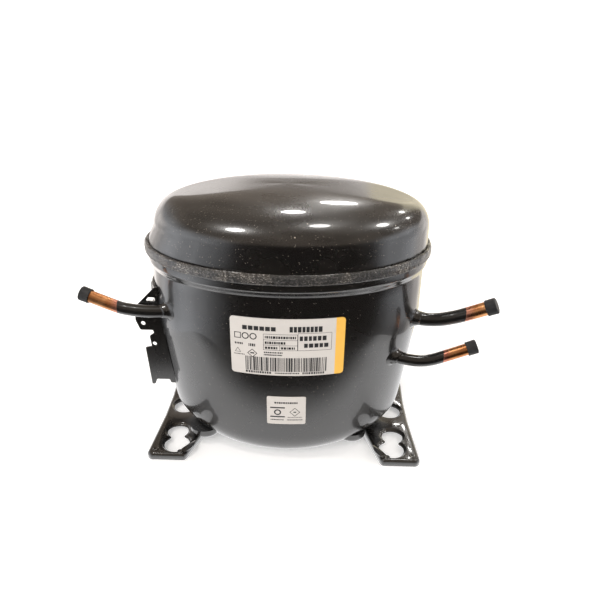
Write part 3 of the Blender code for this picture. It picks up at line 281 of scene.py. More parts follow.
def wovenSleeve():
    finish = Finish("wovenSleeve", {"Sheen Weight": 0.3})
    weave = finish.node("TexBrick", None, {"Vector": finish.place(), "Scale": 900.0, "Mortar Size": 0.08,
                                           "Color1": (0.56, 0.53, 0.46), "Color2": (0.44, 0.41, 0.35),
                                           "Mortar": (0.20, 0.18, 0.15)})
    finish.drive("Base Color", weave)
    finish.drive("Roughness", 0.8 + 0.15 * finish.cloud(300.0))
    finish.bump(finish.node("TexBrick", None, {"Vector": finish.place(), "Scale": 900.0}, out=1), 0.5,
                0.2 * mm)
    return finish.material


def fusedGlass():
    finish = Finish("fusedGlass", {"Coat Weight": 1.0, "Coat Roughness": 0.05})
    swirl = finish.cloud(160.0, 4.0, 0.6)
    finish.drive("Base Color", finish.mix(swirl, (0.05, 0.09, 0.08), (0.14, 0.22, 0.20)))
    finish.drive("Roughness", 0.12 + 0.12 * swirl)
    finish.bump(swirl, 0.15, 0.3 * mm)
    return finish.material


def printedFilm(name, colour, shade):
    # satin film: faint fibre, slightly dirtier in patches
    finish = Finish(name, {"Specular IOR Level": 0.35})
    dirt = finish.fade(finish.cloud(70.0, 4.0), 0.5, 0.85)
    fibre = finish.cloud(900.0, 3.0, 0.6)
    finish.drive("Base Color", finish.mix(0.35 * dirt + 0.12 * fibre, colour, shade))
    finish.drive("Roughness", 0.46 + 0.12 * fibre)
    finish.bump(fibre, 0.10, 0.1 * mm)
    return finish.material


finishes = {
    "lidPaint": bakedPaint("lidPaint", 1.0),
    "wallPaint": bakedPaint("wallPaint", 0.22),
    "weldScale": weldScale(),
    "paper": printedFilm("labelPaper", (0.56, 0.53, 0.50), (0.40, 0.37, 0.34)),
    "ink": printedFilm("labelInk", (0.022, 0.022, 0.024), (0.05, 0.05, 0.05)),
    "strip": printedFilm("labelStrip", (0.80, 0.45, 0.075), (0.62, 0.33, 0.05)),
    "rubber": moulded("capRubber", (0.016, 0.016, 0.017), (0.030, 0.029, 0.029), 0.52, 700.0),
    "copper": drawnCopper("drawnCopper"),
    "steel": metal("machinedSteel", (0.52, 0.51, 0.49), (0.34, 0.32, 0.30), 0.32, 260.0, 0.15,
                   (1.0, 1.0, 8.0)),
    "springSteel": metal("bluedSpring", (0.32, 0.33, 0.36), (0.16, 0.15, 0.17), 0.26, 400.0, 0.12),
    "lamination": laminated(),
    "wire": enamelledWire(),
    "aluminium": metal("castAluminium", (0.68, 0.68, 0.69), (0.50, 0.49, 0.48), 0.42, 330.0, 0.35),
    "iron": metal("castIron", (0.19, 0.19, 0.19), (0.11, 0.10, 0.095), 0.55, 380.0, 0.8),
    "brass": metal("stampedBrass", (0.62, 0.46, 0.19), (0.42, 0.28, 0.10), 0.36, 240.0, 0.15),
    "fibre": moulded("gasketFibre", (0.13, 0.17, 0.14), (0.18, 0.21, 0.18), 0.82, 900.0, 0.6),
    "nylon": moulded("whiteNylon", (0.70, 0.67, 0.60), (0.60, 0.57, 0.50), 0.42, 500.0, 0.15),
    "sleeve": wovenSleeve(),
    "glass": fusedGlass(),
}
print("finishes:", len(finishes))


# --- shape helpers

def blend(low, high, share):
    return low + (high - low) * share


def circle(steps):
    return [2 * math.pi * i / steps for i in range(steps)]


def softStep(share):
    share = min(max(share, 0.0), 1.0)
    return share * share * (3 - 2 * share)


def build(name, bm, finish, angle=38):
    bmesh.ops.recalc_face_normals(bm, faces=bm.faces)
    mesh = bpy.data.meshes.new(name)
    bm.to_mesh(mesh)
    bm.free()
    obj = bpy.data.objects.new(name, mesh)
    bpy.context.scene.collection.objects.link(obj)
    mesh.materials.append(finish)
    mesh.shade_smooth()
    mesh.set_sharp_from_angle(angle=math.radians(angle))
    return obj


def loft(bm, rows, ring=True, loop=False, caps=False):
    # quads between rows of points; ring joins each row's ends, loop joins the last row to the first
    made = [[bm.verts.new(point) for point in row] for row in rows]
    pairs = list(zip(made, made[1:])) + ([(made[-1], made[0])] if loop else [])
    count = len(rows[0])
    for lower, upper in pairs:
        for i in range(count if ring else count - 1):
            j = (i + 1) % count
            bm.faces.new((lower[i], lower[j], upper[j], upper[i]))
    if caps:
        bm.faces.new(made[0])
        bm.faces.new(made[-1])
    return made


def pole(bm, row, point):
    # closes a row with a fan round one point
    tip = bm.verts.new(point)
    for i in range(len(row)):
        bm.faces.new((row[i], row[(i + 1) % len(row)], tip))


def turnedRows(profile, place, axis, steps=48):
    # rings of (radius, height) points about an axis
    turn = Vector((0, 0, 1)).rotation_difference(Vector(axis)).to_matrix()
    place = Vector(place)
    return [[place + turn @ Vector((radius * math.cos(a), radius * math.sin(a), height))
             for a in circle(steps)] for radius, height in profile]


def settle(obj):
    # keeps the mesh that the modifiers make
    bpy.context.view_layer.update()
    done = bpy.data.meshes.new_from_object(obj.evaluated_get(bpy.context.evaluated_depsgraph_get()))
    obj.modifiers.clear()
    obj.data = done


def carve(obj, cutters):
    for cutter in cutters:
        step = obj.modifiers.new(cutter.name, "BOOLEAN")
        step.operation = "DIFFERENCE"
        step.object = cutter
    settle(obj)
    for cutter in cutters:
        bpy.data.objects.remove(cutter)


def wallBy(obj, thickness, offset=-1.0, even=True):
    wall = obj.modifiers.new("Wall", "SOLIDIFY")
    wall.thickness = thickness
    wall.offset = offset
    wall.use_even_offset = even


def mount(obj, body, slotName, *nodes):
    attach(obj, body)
    if nodes:
        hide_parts(*nodes)
    return obj


# --- shell

shell = {
    "thickness": 3.0 * mm,
    "bottom": 6.0 * mm,
    "seam": 152.4 * mm,
    "mouthHalfLength": 103.4 * mm,
    "mouthAspect": 0.735,
    "stepTop": 145.5 * mm,
    "stepBottom": 137.0 * mm,
    "wallHalfLength": 101.0 * mm,
    "wallAspect": 0.675,
    "shoulder": 104.0 * mm,
    "taper": 0.128,
    "corner": 17.0 * mm,
    "belly": 3.4 * mm,
    "bellyTop": 44.0 * mm,
    "bellySag": 1.42 / (1000 * mm),
    "steps": 180,
}


def wallHalfLength(z):
    wall = shell["wallHalfLength"] - shell["taper"] * max(shell["shoulder"] - z, 0.0)
    height = max(z - shell["bottom"], 0.0)
    corner = shell["corner"]
    if height < corner:
        wall -= corner - math.sqrt(corner ** 2 - (corner - height) ** 2)
    return blend(wall, shell["mouthHalfLength"], flare(z))


def flare(z):
    return softStep((z - shell["stepBottom"]) / (shell["stepTop"] - shell["stepBottom"]))


def wallAspect(z):
    return blend(shell["wallAspect"], shell["mouthAspect"], flare(z))


def wallOval(z, lift=0.0):
    # half length and half width of the outside at a height
    length = wallHalfLength(z)
    return length + lift, length * wallAspect(z) + lift


def wallPoint(angle, z, lift=0.0):
    length, width = wallOval(z, lift)
    return Vector((length * math.cos(angle), width * math.sin(angle), z))


def frontPoint(x, z, lift):
    length, width = wallOval(z, lift)
    return Vector((x, -width * math.sqrt(1 - (x / length) ** 2), z))


def rodCutter(name, start, end, radius):
    bm = bmesh.new()
    along = Vector(end) - Vector(start)
    loft(bm, turnedRows([(radius, 0), (radius, along.length)], start, along), caps=True)
    return build(name, bm, finishes["steel"])


terminal = {
    "z": 92.0 * mm,
    "radius": 14.5 * mm,
    "depth": 9.0 * mm,
    "floor": 2.5 * mm,
    "wall": 1.5 * mm,
    "glassRadius": 10.5 * mm,
    "room": 0.3 * mm,
}
terminalPlace = Vector((-wallHalfLength(terminal["z"]), 0, terminal["z"]))

tubes = {
    "suction": {"radius": 5.0 * mm, "edge": 130.0 * mm, "axis": "X", "way": 1,
                "route": [(80, -20.6, 103.4), (95, -22.4, 103.3), (105, -23.8, 103.0), (113.4, -25.6, 104.2),
                          (121, -27.4, 106.6), (128.8, -29.5, 110.0), (148.5, -35.5, 120.5)]},
    "process": {"radius": 4.3 * mm, "edge": 115.6 * mm, "axis": "X", "way": 1,
                "route": [(67, -34.5, 78.6), (81, -37.6, 78.4), (91, -39.2, 77.3), (99, -40, 77.0),
                          (107, -40, 78.1), (115.5, -40, 81.1), (137.2, -40, 89.8)]},
    "discharge": {"radius": 4.5 * mm, "edge": 121.2 * mm, "axis": "X", "way": -1,
                  "route": [(-72, -33.4, 110.6), (-85, -36.2, 110.8), (-95, -37.2, 110.7),
                            (-104.0, -37.2, 110.9), (-113, -36.4, 111.5), (-121.8, -35.2, 113.0),
                            (-146.8, -31.2, 120.7)]},
}


def smoothRoute(points, pieces=8):
    # a curve through the points
    ends = [points[0] * 2 - points[1]] + points + [points[-1] * 2 - points[-2]]
    route = []
    for i in range(1, len(ends) - 2):
        before, start, end, after = ends[i - 1:i + 3]
        for k in range(pieces):
            t = k / pieces
            route.append(0.5 * (2 * start + (end - before) * t
                                + (2 * before - 5 * start + 4 * end - after) * t * t
                                + (3 * start - before - 3 * end + after) * t * t * t))
    return route + [points[-1]]


for tube in tubes.values():
    tube["points"] = smoothRoute([Vector(point) * mm for point in tube["route"]])


def outsideWall(point):
    length, width = wallOval(point.z)
    return math.hypot(point.x / length, point.y / width) > 1


def wallCrossing(points):
    # where a tube's centreline leaves the shell, and its heading there
    for before, after in zip(points, points[1:]):
        if outsideWall(after):
            return after, (after - before).normalized()


def bellied(point):
    # the floor is lowest in the middle
    share = 1 - softStep((point.z - shell["bottom"]) / (shell["bellyTop"] - shell["bottom"]))
    rise = min(shell["bellySag"] * point.x ** 2, 2.6 * shell["belly"])
    return Vector((point.x, point.y, point.z + share * (rise - shell["belly"])))


def makeLowerShell():
    corner = [shell["bottom"] + shell["corner"] * (1 - math.cos(math.radians(t))) for t in range(90, 0, -6)]
    step = [blend(shell["stepTop"], shell["stepBottom"], k / 12) for k in range(13)]
    wall = [blend(shell["stepBottom"], shell["shoulder"], k / 5) for k in range(1, 6)]
    taper = [blend(shell["shoulder"], corner[0], k / 8) for k in range(1, 8)]
    heights = [shell["seam"], blend(shell["seam"], shell["stepTop"], 0.5)] + step + wall + taper + corner
    angles = circle(shell["steps"])
    rows = [[wallPoint(a, z) for a in angles] for z in heights]
    floorRow = [wallPoint(a, shell["bottom"]) for a in angles]
    rows.append(floorRow)
    for share in (0.75, 0.4):
        rows.append([Vector((p.x * share, p.y * share, p.z)) for p in floorRow])
    bm = bmesh.new()
    made = loft(bm, [[bellied(point) for point in row] for row in rows])
    pole(bm, made[-1], bellied(Vector((0, 0, shell["bottom"]))))
    obj = build("lowerShell", bm, finishes["wallPaint"], 50)
    wallBy(obj, shell["thickness"])
    settle(obj)
    cutters = [rodCutter("terminalHole", terminalPlace - Vector((12 * mm, 0, 0)),
                         terminalPlace + Vector((12 * mm, 0, 0)), terminal["radius"] + terminal["room"])]
    for kind, tube in tubes.items():
        middle, heading = wallCrossing(tube["points"])
        cutters.append(rodCutter(kind + "Hole", middle - heading * 9 * mm, middle + heading * 9 * mm,
                                 tube["radius"] + 0.2 * mm))
    carve(obj, cutters)
    return mount(obj, "shell", "shell_paint", "lower_shell")


studs = {
    "x": 38.0 * mm,
    "y": 36.0 * mm,
    "profile": [(4.0, 7.4), (4.0, 13.1), (6.4, 13.1), (6.8, 13.4), (6.8, 14.5), (6.4, 14.9), (4.0, 14.9),
                (4.0, 19.0), (3.5, 19.5)],
}


def makeSpringStuds():
    bm = bmesh.new()
    for x in (studs["x"], -studs["x"]):
        for y in (studs["y"], -studs["y"]):
            profile = [(r * mm, z * mm) for r, z in studs["profile"]]
            loft(bm, turnedRows(profile, (x, y, 0), (0, 0, 1), 32), caps=True)
    return mount(build("springStuds", bm, finishes["steel"]), "shell", "shell_paint")


pads = {
    "x": (52.0 * mm, -63.0 * mm),
    "y": 37.0 * mm,
    "z": 9.5 * mm,
    "radii": (11.0 * mm, 9.0 * mm, 5.1 * mm),
    "square": 0.7,
    "neck": 3 * mm,
    "steps": 40,
}


def makeShellPads():
    # four pressed feet under the shell, where the base plates are welded on
    bm = bmesh.new()
    turns = [math.radians(t) for t in range(-84, 1, 12)]
    rx, ry, rz = pads["radii"]
    for x in pads["x"]:
        for y in (pads["y"], -pads["y"]):
            rows = []
            for turn in turns:
                reach = math.cos(turn) ** pads["square"]
                rows.append([Vector((x + rx * reach * math.cos(a), y + ry * reach * math.sin(a),
                                     pads["z"] + rz * math.sin(turn))) for a in circle(pads["steps"])])
            rows.append([Vector((p.x, p.y, pads["z"] + pads["neck"])) for p in rows[-1]])
            loft(bm, rows, caps=True)
    return mount(build("shellPads", bm, finishes["wallPaint"]), "shell", "shell_paint")


lid = {
    "height": 197.0 * mm,
    "bottom": 152.7 * mm,
    "footHeight": 5.0 * mm,
    "halfLength": 102.6 * mm,
    "halfWidth": 75.2 * mm,
    "sag": 1.2 / (1000 * mm),
    "corners": (16.4 * mm, 13.4 * mm),
    "leans": (5.4 * mm, 0.3 * mm),
    "sideShoulder": 58.0 * mm,
    "sideDrop": 24.6 * mm,
    "sideLean": 0.7 * mm,
}


def crown(x):
    return lid["height"] - lid["sag"] * x * x


def lidCorner(angle, turn):
    # tight at the ends, wide at the sides; the left end leans in most
    side = math.sin(angle) ** 2
    right = (1 + math.cos(angle)) / 2
    corner = blend(*lid["corners"], right)
    lean = blend(blend(*lid["leans"], right), lid["sideLean"], side)
    across = blend(corner, lid["sideShoulder"], side) * (1 - math.cos(turn)) + lean
    down = blend(corner, lid["sideDrop"], side) * (1 - math.sin(turn))
    rim = Vector((lid["halfLength"] * math.cos(angle), lid["halfWidth"] * math.sin(angle)))
    outward = Vector((rim.x / lid["halfLength"] ** 2, rim.y / lid["halfWidth"] ** 2)).normalized()
    place = rim - outward * across
    return Vector((place.x, place.y, crown(place.x) - down))


def makeLid():
    angles = circle(shell["steps"])
    foot = [Vector((lid["halfLength"] * math.cos(a), lid["halfWidth"] * math.sin(a), lid["bottom"]))
            for a in angles]
    upright = [point + Vector((0, 0, lid["footHeight"])) for point in foot]
    start = [lidCorner(a, 0.0) for a in angles]
    rows = [foot] + [[low.lerp(high, k / 4) for low, high in zip(upright, start)] for k in range(4)]
    rows += [[lidCorner(a, math.radians(t)) for a in angles] for t in range(0, 91, 5)]
    rim = rows[-1]
    for k in range(1, 8):
        share = 1 - k / 8
        rows.append([Vector((p.x * share, p.y * share, crown(p.x * share))) for p in rim])
    bm = bmesh.new()
    made = loft(bm, rows)
    pole(bm, made[-1], (0, 0, lid["height"]))
    obj = build("lidShell", bm, finishes["lidPaint"], 60)
    wallBy(obj, shell["thickness"])
    settle(obj)
    return mount(obj, "shell", "shell_paint", "upper_shell")


bead = {
    "low": 149.4 * mm,
    "around": 0.87,
    "outline": [(-1.0, 7.4), (0.5, 8.0), (1.3, 7.3), (1.75, 6.1), (1.9, 4.8), (1.85, 3.6), (1.55, 2.6),
                (1.75, 1.7), (1.35, 0.8), (0.5, 0.1), (-1.0, 0.5)],
    "rippleLength": 2.1 * mm,
    "ripple": 0.30 * mm,
    "rough": 0.42 * mm,
    "steps": 900,
}


def makeSeamBead():
    # a rope of overlapping ripples, rougher along its lower toe
    inner = shell["mouthHalfLength"] + 0.15 * mm
    around = 2 * math.pi * inner * bead["around"]
    rows = []
    for out, up in bead["outline"]:
        row = []
        for i in range(bead["steps"]):
            angle = 2 * math.pi * i / bead["steps"]
            reach = Vector((math.cos(angle), math.sin(angle)))
            here = Vector((reach.x * 9.0, reach.y * 9.0, up * 0.35))
            slow = noise.noise(here * 1.3)
            rough = noise.noise(here * 6.0) * bead["rough"] * (1.0 if up < 3.2 else 0.45)
            phase = around * i / bead["steps"] / bead["rippleLength"] + 0.9 * slow + abs(up - 4.5) * 0.09
            ripple = bead["ripple"] * abs(math.sin(math.pi * phase)) if out > 0 else 0.0
            grow = out * mm + (ripple - bead["ripple"] * 0.5 + rough + 0.16 * mm * slow if out > 0 else 0.0)
            lift = up * mm + 0.35 * mm * slow
            length = inner + grow
            width = inner * shell["mouthAspect"] + 0.15 * mm + grow
            row.append(Vector((length * reach.x, width * reach.y, bead["low"] + lift)))
        rows.append(row)
    bm = bmesh.new()
    loft(bm, rows, loop=True)
    return mount(build("seamBead", bm, finishes["weldScale"], 70), "shell", "weld_bead", "seam_weld")


makeLowerShell()
makeSpringStuds()
makeShellPads()
makeLid()
makeSeamBead()
print("shell, lid and seam")


# --- base plates

plate = {
    "top": 5.5 * mm,
    "sheet": 2.3 * mm,
    "edge": 2.6 * mm,
    "halfDepth": 65.0 * mm,
    "tipInner": 73.0 * mm,
    "tipOuter": 102.8 * mm,
    "waistOuter": 100.2 * mm,
    "waistInner": 60.0 * mm,
    "chamfer": 2.8 * mm,
    "innerHole": (85.0 * mm, 35.0 * mm, 8.0 * mm),
    "outerHole": (82.55 * mm, 50.8 * mm, 9.5 * mm),
    "neck": 10.3 * mm,
    "middleHole": (85.9 * mm, 9.2 * mm),
    "rim": [(2.2, 0.0), (1.9, 0.12), (1.5, 0.5), (1.1, 0.95), (0.7, 1.25), (0.3, 1.38), (0.0, 1.6)],
    "dimples": ((97.0, 59.5), (78.0, 61.3)),
    "dimpleProfile": [(2.4, -0.6), (2.3, 0.1), (1.8, 0.45), (1.2, 0.4), (0.7, 0.12), (0.2, 0.02)],
}


def filleted(points, radius, steps=5):
    # rounds an outline's corners
    rounded = []
    for i, point in enumerate(points):
        before = (points[i - 1] - point)
        after = (points[(i + 1) % len(points)] - point)
        reach = min(radius, before.length * 0.45, after.length * 0.45)
        first = point + before.normalized() * reach
        last = point + after.normalized() * reach
        for k in range(steps + 1):
            t = k / steps
            rounded.append(first.lerp(point, t).lerp(point.lerp(last, t), t))
    return rounded


def plateOutline(side, inset):
    tip = plate["halfDepth"] - inset
    outer = plate["tipOuter"] - inset
    inner = plate["tipInner"] + inset
    bevel = plate["chamfer"]
    front = [(plate["waistInner"] + inset, -18 * mm), (inner - 6 * mm, -42 * mm), (inner, -tip + 2.4 * mm),
             (inner + 1.6 * mm, -tip), (outer - bevel, -tip), (outer, -tip + bevel),
             (plate["waistOuter"] - inset, -14 * mm)]
    back = [(x, -y) for x, y in reversed(front)]
    return filleted([Vector((side * x, y)) for x, y in front + back], 1.6 * mm)


def arcPoints(centre, radius, start, end, steps):
    return [centre + radius * Vector((math.cos(t), math.sin(t)))
            for t in (blend(start, end, i / steps) for i in range(steps + 1))]


def keyhole(side, end, grow):
    nearX, nearY, nearRadius = plate["innerHole"]
    farX, farY, farRadius = plate["outerHole"]
    near, far = Vector((side * nearX, end * nearY)), Vector((side * farX, end * farY))
    nearRadius, farRadius = nearRadius + grow, farRadius + grow
    apart = (far - near).length
    heading = math.atan2(far.y - near.y, far.x - near.x)
    reach = (apart ** 2 + nearRadius ** 2 - farRadius ** 2) / (2 * apart)
    crossing = math.sqrt(max(nearRadius ** 2 - reach ** 2, 0.0))
    half = max(plate["neck"] / 2 + grow, crossing)
    nearTurn, farTurn = math.asin(half / nearRadius), math.asin(half / farRadius)
    return (arcPoints(near, nearRadius, heading + nearTurn, heading + 2 * math.pi - nearTurn, 30)
            + arcPoints(far, farRadius, heading + math.pi + farTurn, heading + 3 * math.pi - farTurn, 30))


def frontKeyhole(side, grow):
    return keyhole(side, -1, grow)


def rearKeyhole(side, grow):
    return keyhole(side, 1, grow)


def middleHole(side, grow):
    x, radius = plate["middleHole"]
    return arcPoints(Vector((side * x, 0)), radius + grow, 0, math.pi * 1.95, 39)


def makeBasePlate(side, name, node):
    bm = bmesh.new()
    edgeRows = []
    for k in range(7):
        turn = math.pi / 2 * k / 6
        inset = plate["edge"] * (1 - math.sin(turn))
        edgeRows.append((inset, plate["top"] - plate["edge"] * (1 - math.cos(turn))))
    edgeRows.append((0.0, 0.15 * mm))
    outer = loft(bm, [[Vector((p.x, p.y, z)) for p in plateOutline(side, inset)] for inset, z in edgeRows])
    borders = [outer[0]]
    for hole in (frontKeyhole, rearKeyhole, middleHole):
        rows = [[Vector((p.x, p.y, plate["top"] - drop * mm)) for p in hole(side, grow * mm)]
                for grow, drop in plate["rim"]]
        borders.append(loft(bm, rows)[0])
    edges = []
    for border in borders:
        for i, vert in enumerate(border):
            edges.append(bm.edges.get((vert, border[(i + 1) % len(border)])))
    bmesh.ops.triangle_fill(bm, use_beauty=True, use_dissolve=False, edges=edges)
    bmesh.ops.remove_doubles(bm, verts=bm.verts, dist=0.01 * mm)
    obj = build(name, bm, finishes["wallPaint"], 40)
    wallBy(obj, plate["sheet"], even=False)
    settle(obj)
    return mount(obj, "shell", "shell_paint", node)


def makeDimples():
    # pressed marks at the plates' outer corners
    bm = bmesh.new()
    profile = [(r * mm, h * mm) for r, h in plate["dimpleProfile"]]
    for x, y in plate["dimples"]:
        for sx in (1, -1):
            for sy in (1, -1):
                place = (sx * x * mm, sy * y * mm, plate["top"])
                loft(bm, turnedRows(profile, place, (0, 0, 1), 20), caps=True)
    return mount(build("plateDimples", bm, finishes["wallPaint"]), "shell", "shell_paint")


makeBasePlate(1, "basePlateRight", "base_plate_right")
makeBasePlate(-1, "basePlateLeft", "base_plate_left")
makeDimples()
print("base plates")


# --- tubes, brazed collars and caps

def tubeRows(points, radii, steps=32):
    # rings square to the line, carried along it without twist
    side = (points[1] - points[0]).cross(Vector((0, 0, 1))).normalized()
    rows = []
    for i, point in enumerate(points):
        ahead = points[min(i + 1, len(points) - 1)] - points[max(i - 1, 0)]
        ahead.normalize()
        side = (side - ahead * side.dot(ahead)).normalized()
        other = ahead.cross(side)
        rows.append([point + radii[i] * (math.cos(a) * side + math.sin(a) * other)
                     for a in circle(steps)])
    return rows


tubeWall = 0.8 * mm
collar = {
    "fillet": [(2.9, -0.5), (2.4, 0.2), (1.7, 0.7), (1.1, 1.5), (0.7, 2.7), (0.35, 4.3), (0.08, 6.0)],
    "inside": 0.05,
    "depth": 1.2,
    "lump": 0.18 * mm,
    "lumpScale": 420,
    "steps": 48,
}
cap = {
    "length": 7.6 * mm,
    "wall": 0.6 * mm,
    "end": 1.6 * mm,
    "gap": 0.3 * mm,
}


def brazePoint(middle, heading, angle, radius, rise):
    # a point beside a tube, at a height over the wall measured along the tube
    side = heading.cross(Vector((0, 0, 1))).normalized()
    foot = middle + radius * (math.cos(angle) * side + math.sin(angle) * heading.cross(side))
    low, high = -14 * mm, 14 * mm
    for _ in range(24):
        half = (low + high) / 2
        if outsideWall(foot + heading * half):
            high = half
        else:
            low = half
    return foot + heading * (high + rise)


def makeTube(kind, tube):
    points, radius = tube["points"], tube["radius"]
    lip = 0.25 * mm
    out = (points[-1] - points[-2]).normalized()
    outer = tubeRows(points[:-1] + [points[-1] - out * lip, points[-1]],
                     [radius] * len(points) + [radius - lip])
    inner = tubeRows(points, [radius - tubeWall] * len(points))
    bm = bmesh.new()
    loft(bm, outer + inner[::-1], loop=True)
    obj = build(kind + "Tube", bm, drawnCopper(kind + "Copper", tube["axis"], tube["edge"], tube["way"]))
    mount(obj, "shell", "copper", kind + "_tube")

    middle, heading = wallCrossing(points)
    bm = bmesh.new()
    back = [(collar["inside"], collar["fillet"][-1][1]), (collar["inside"], -collar["depth"])]
    rows = [[brazePoint(middle, heading, a, radius + grow * mm, rise * mm) for a in circle(collar["steps"])]
            for grow, rise in collar["fillet"] + back]
    for row in rows[1:len(collar["fillet"]) - 1]:
        for point in row:
            lump = collar["lump"] * noise.noise(point * collar["lumpScale"])
            point += (point - middle).normalized() * lump
    loft(bm, rows, loop=True)
    mount(build(kind + "Braze", bm, finishes["wallPaint"], 60), "shell", "shell_paint", kind + "_collar")


def makeCap(kind, tube):
    points, radius = tube["points"], tube["radius"]
    route = smoothRoute([Vector(point) * mm for point in tube["route"]], 2)
    out = (route[-1] - route[-2]).normalized()
    inner = radius + cap["gap"]
    outer = inner + cap["wall"]
    end = cap["gap"] + cap["end"]
    start = end - cap["length"]
    profile = [(0.6 * mm, end - 0.25 * mm), (outer - 1.6 * mm, end - 0.05 * mm), (outer - 0.9 * mm, end),
               (outer - 0.35 * mm, end - 0.2 * mm), (outer - 0.05 * mm, end - 0.6 * mm),
               (outer, end - 1.2 * mm), (outer - 0.10 * mm, start + 1.3 * mm), (outer, start + 0.8 * mm),
               (outer, start + 0.3 * mm),
               (outer - 0.2 * mm, start), (inner + 0.1 * mm, start), (inner, start + 0.2 * mm),
               (inner, cap["gap"]), (0.6 * mm, cap["gap"])]
    bm = bmesh.new()
    loft(bm, turnedRows(profile, points[-1], out, 48), caps=True)
    mount(build(kind + "Cap", bm, finishes["rubber"], 50), kind + "_plug", "rubber", kind + "_cap")


for kind, tube in tubes.items():
    makeTube(kind, tube)
    makeCap(kind, tube)
print("tubes and caps")


# --- electrical terminal and its bracket

def makeTerminal():
    out = Vector((-1, 0, 0))
    start = terminalPlace - out * terminal["depth"] / 2
    radius, wall = terminal["radius"], terminal["wall"]
    seat = terminal["glassRadius"] + terminal["room"]
    depth, floor = terminal["depth"], terminal["floor"]
    profile = [(radius - 0.3 * mm, depth), (radius, depth - 0.4 * mm), (radius, 0.4 * mm),
               (radius - 0.4 * mm, 0), (seat, 0), (seat, floor), (radius - wall - 1.2 * mm, floor),
               (radius - wall, floor + 1.2 * mm),
               (radius - wall, depth - 0.3 * mm), (radius - wall + 0.3 * mm, depth)]
    bm = bmesh.new()
    loft(bm, turnedRows(profile, start, out, 64), loop=True)
    mount(build("terminalCup", bm, finishes["steel"]), "shell", "steel", "terminal_cup")


bracket = {
    "sheet": 1.6 * mm,
    "halfWidth": 25.0 * mm,
    "bottom": 46.0 * mm,
    "top": 124.0 * mm,
    "window": 19.0 * mm,
    "gap": 0.3 * mm,
    "outline": [(-80, 43), (-90, 43), (-91, 46), (-101, 46), (-102.5, 41.5), (-105, 41.5), (-107.5, 74),
                (-102.5, 75), (-103.5, 84), (-100, 86.5), (-100.5, 89), (-110, 89), (-113, 97),
                (-112.5, 108), (-97, 124), (-80, 124)],
    "slot": [(-104, 113), (-97, 113), (-97, 116), (-102, 116)],
    "hole": (-107.5, 94.5, 1.7),
    "notch": (-100.2, 77.4, 1.6),
    "edge": 0.35 * mm,
}


def cheekSolid(name, y):
    curve = bpy.data.curves.new(name, "CURVE")
    curve.dimensions = "2D"
    curve.fill_mode = "BOTH"
    curve.extrude = bracket["sheet"] / 2 - bracket["edge"]
    curve.bevel_depth = bracket["edge"]
    curve.bevel_resolution = 2
    curve.offset = -bracket["edge"]
    outer = filleted([Vector(point) for point in bracket["outline"]], 0.9, 3)
    slot = filleted([Vector(point) for point in bracket["slot"]], 0.8, 3)
    holes = [arcPoints(Vector((x, z)), radius, 0, math.pi * 1.9, 19)
             for x, z, radius in (bracket["hole"], bracket["notch"])]
    for outline in [outer, slot] + holes:
        spline = curve.splines.new("POLY")
        spline.points.add(len(outline) - 1)
        for point, place in zip(spline.points, outline):
            point.co = (place.x * mm, place.y * mm, 0, 1)
        spline.use_cyclic_u = True
    obj = bpy.data.objects.new(name, curve)
    bpy.context.scene.collection.objects.link(obj)
    bpy.context.view_layer.update()
    mesh = bpy.data.meshes.new_from_object(obj.evaluated_get(bpy.context.evaluated_depsgraph_get()))
    bpy.data.objects.remove(obj)
    mesh.transform(Matrix.Translation((0, y, 0)) @ Matrix.Rotation(math.pi / 2, 4, "X"))
    return mesh


def wallSolid(name, low, high, lift):
    # the shell's outside between two heights as one solid, for trimming
    bm = bmesh.new()
    rows = [[wallPoint(a, blend(low, high, k / 24), lift) for a in circle(shell["steps"])] for k in range(25)]
    loft(bm, rows, caps=True)
    return build(name, bm, finishes["steel"])


def makeBracket():
    half, sheet = bracket["halfWidth"], bracket["sheet"]
    bm = bmesh.new()
    for y in (-half + sheet / 2, half - sheet / 2):
        bm.from_mesh(cheekSolid("cheek", y))
    bmesh.ops.remove_doubles(bm, verts=bm.verts, dist=0.01 * mm)
    cheeks = build("terminalBracket", bm, finishes["wallPaint"], 35)
    carve(cheeks, [wallSolid("wallTrim", 30 * mm, 135 * mm, bracket["gap"])])
    for face in cheeks.data.polygons:
        face.use_smooth = abs(face.normal.y) < 0.99
    mount(cheeks, "shell", "shell_paint", "terminal_fence")

    # the band between the cheeks, round the terminal
    bm = bmesh.new()
    middle = (bracket["top"] + bracket["bottom"]) / 2
    tall = (bracket["top"] - bracket["bottom"]) / 2
    wide = half - sheet * 0.5
    rows = []
    for k in range(9):
        row = []
        for angle in circle(96):
            cosine, sine = math.cos(angle), math.sin(angle)
            hole = Vector((bracket["window"] * cosine, terminal["z"] + bracket["window"] * sine))
            room = tall + (terminal["z"] - middle) * (-1 if sine > 0 else 1)
            reach = min(wide / max(abs(cosine), 1e-6), room / max(abs(sine), 1e-6))
            rim = Vector((reach * cosine, terminal["z"] + reach * sine))
            place = hole.lerp(rim, k / 8)
            z = min(max(place.y, bracket["bottom"]), bracket["top"])
            length, width = wallOval(z, bracket["gap"])
            row.append(Vector((-length * math.sqrt(1 - (place.x / width) ** 2), place.x, z)))
        rows.append(row)
    loft(bm, rows)
    band = build("bracketBand", bm, finishes["wallPaint"], 35)
    towards = band.data.polygons[0].normal.x
    wallBy(band, sheet, 1.0 if towards < 0 else -1.0)
    settle(band)
    mount(band, "shell", "shell_paint")


makeTerminal()
makeBracket()
print("terminal and bracket")


# --- labels, printed with plain bars and shapes only

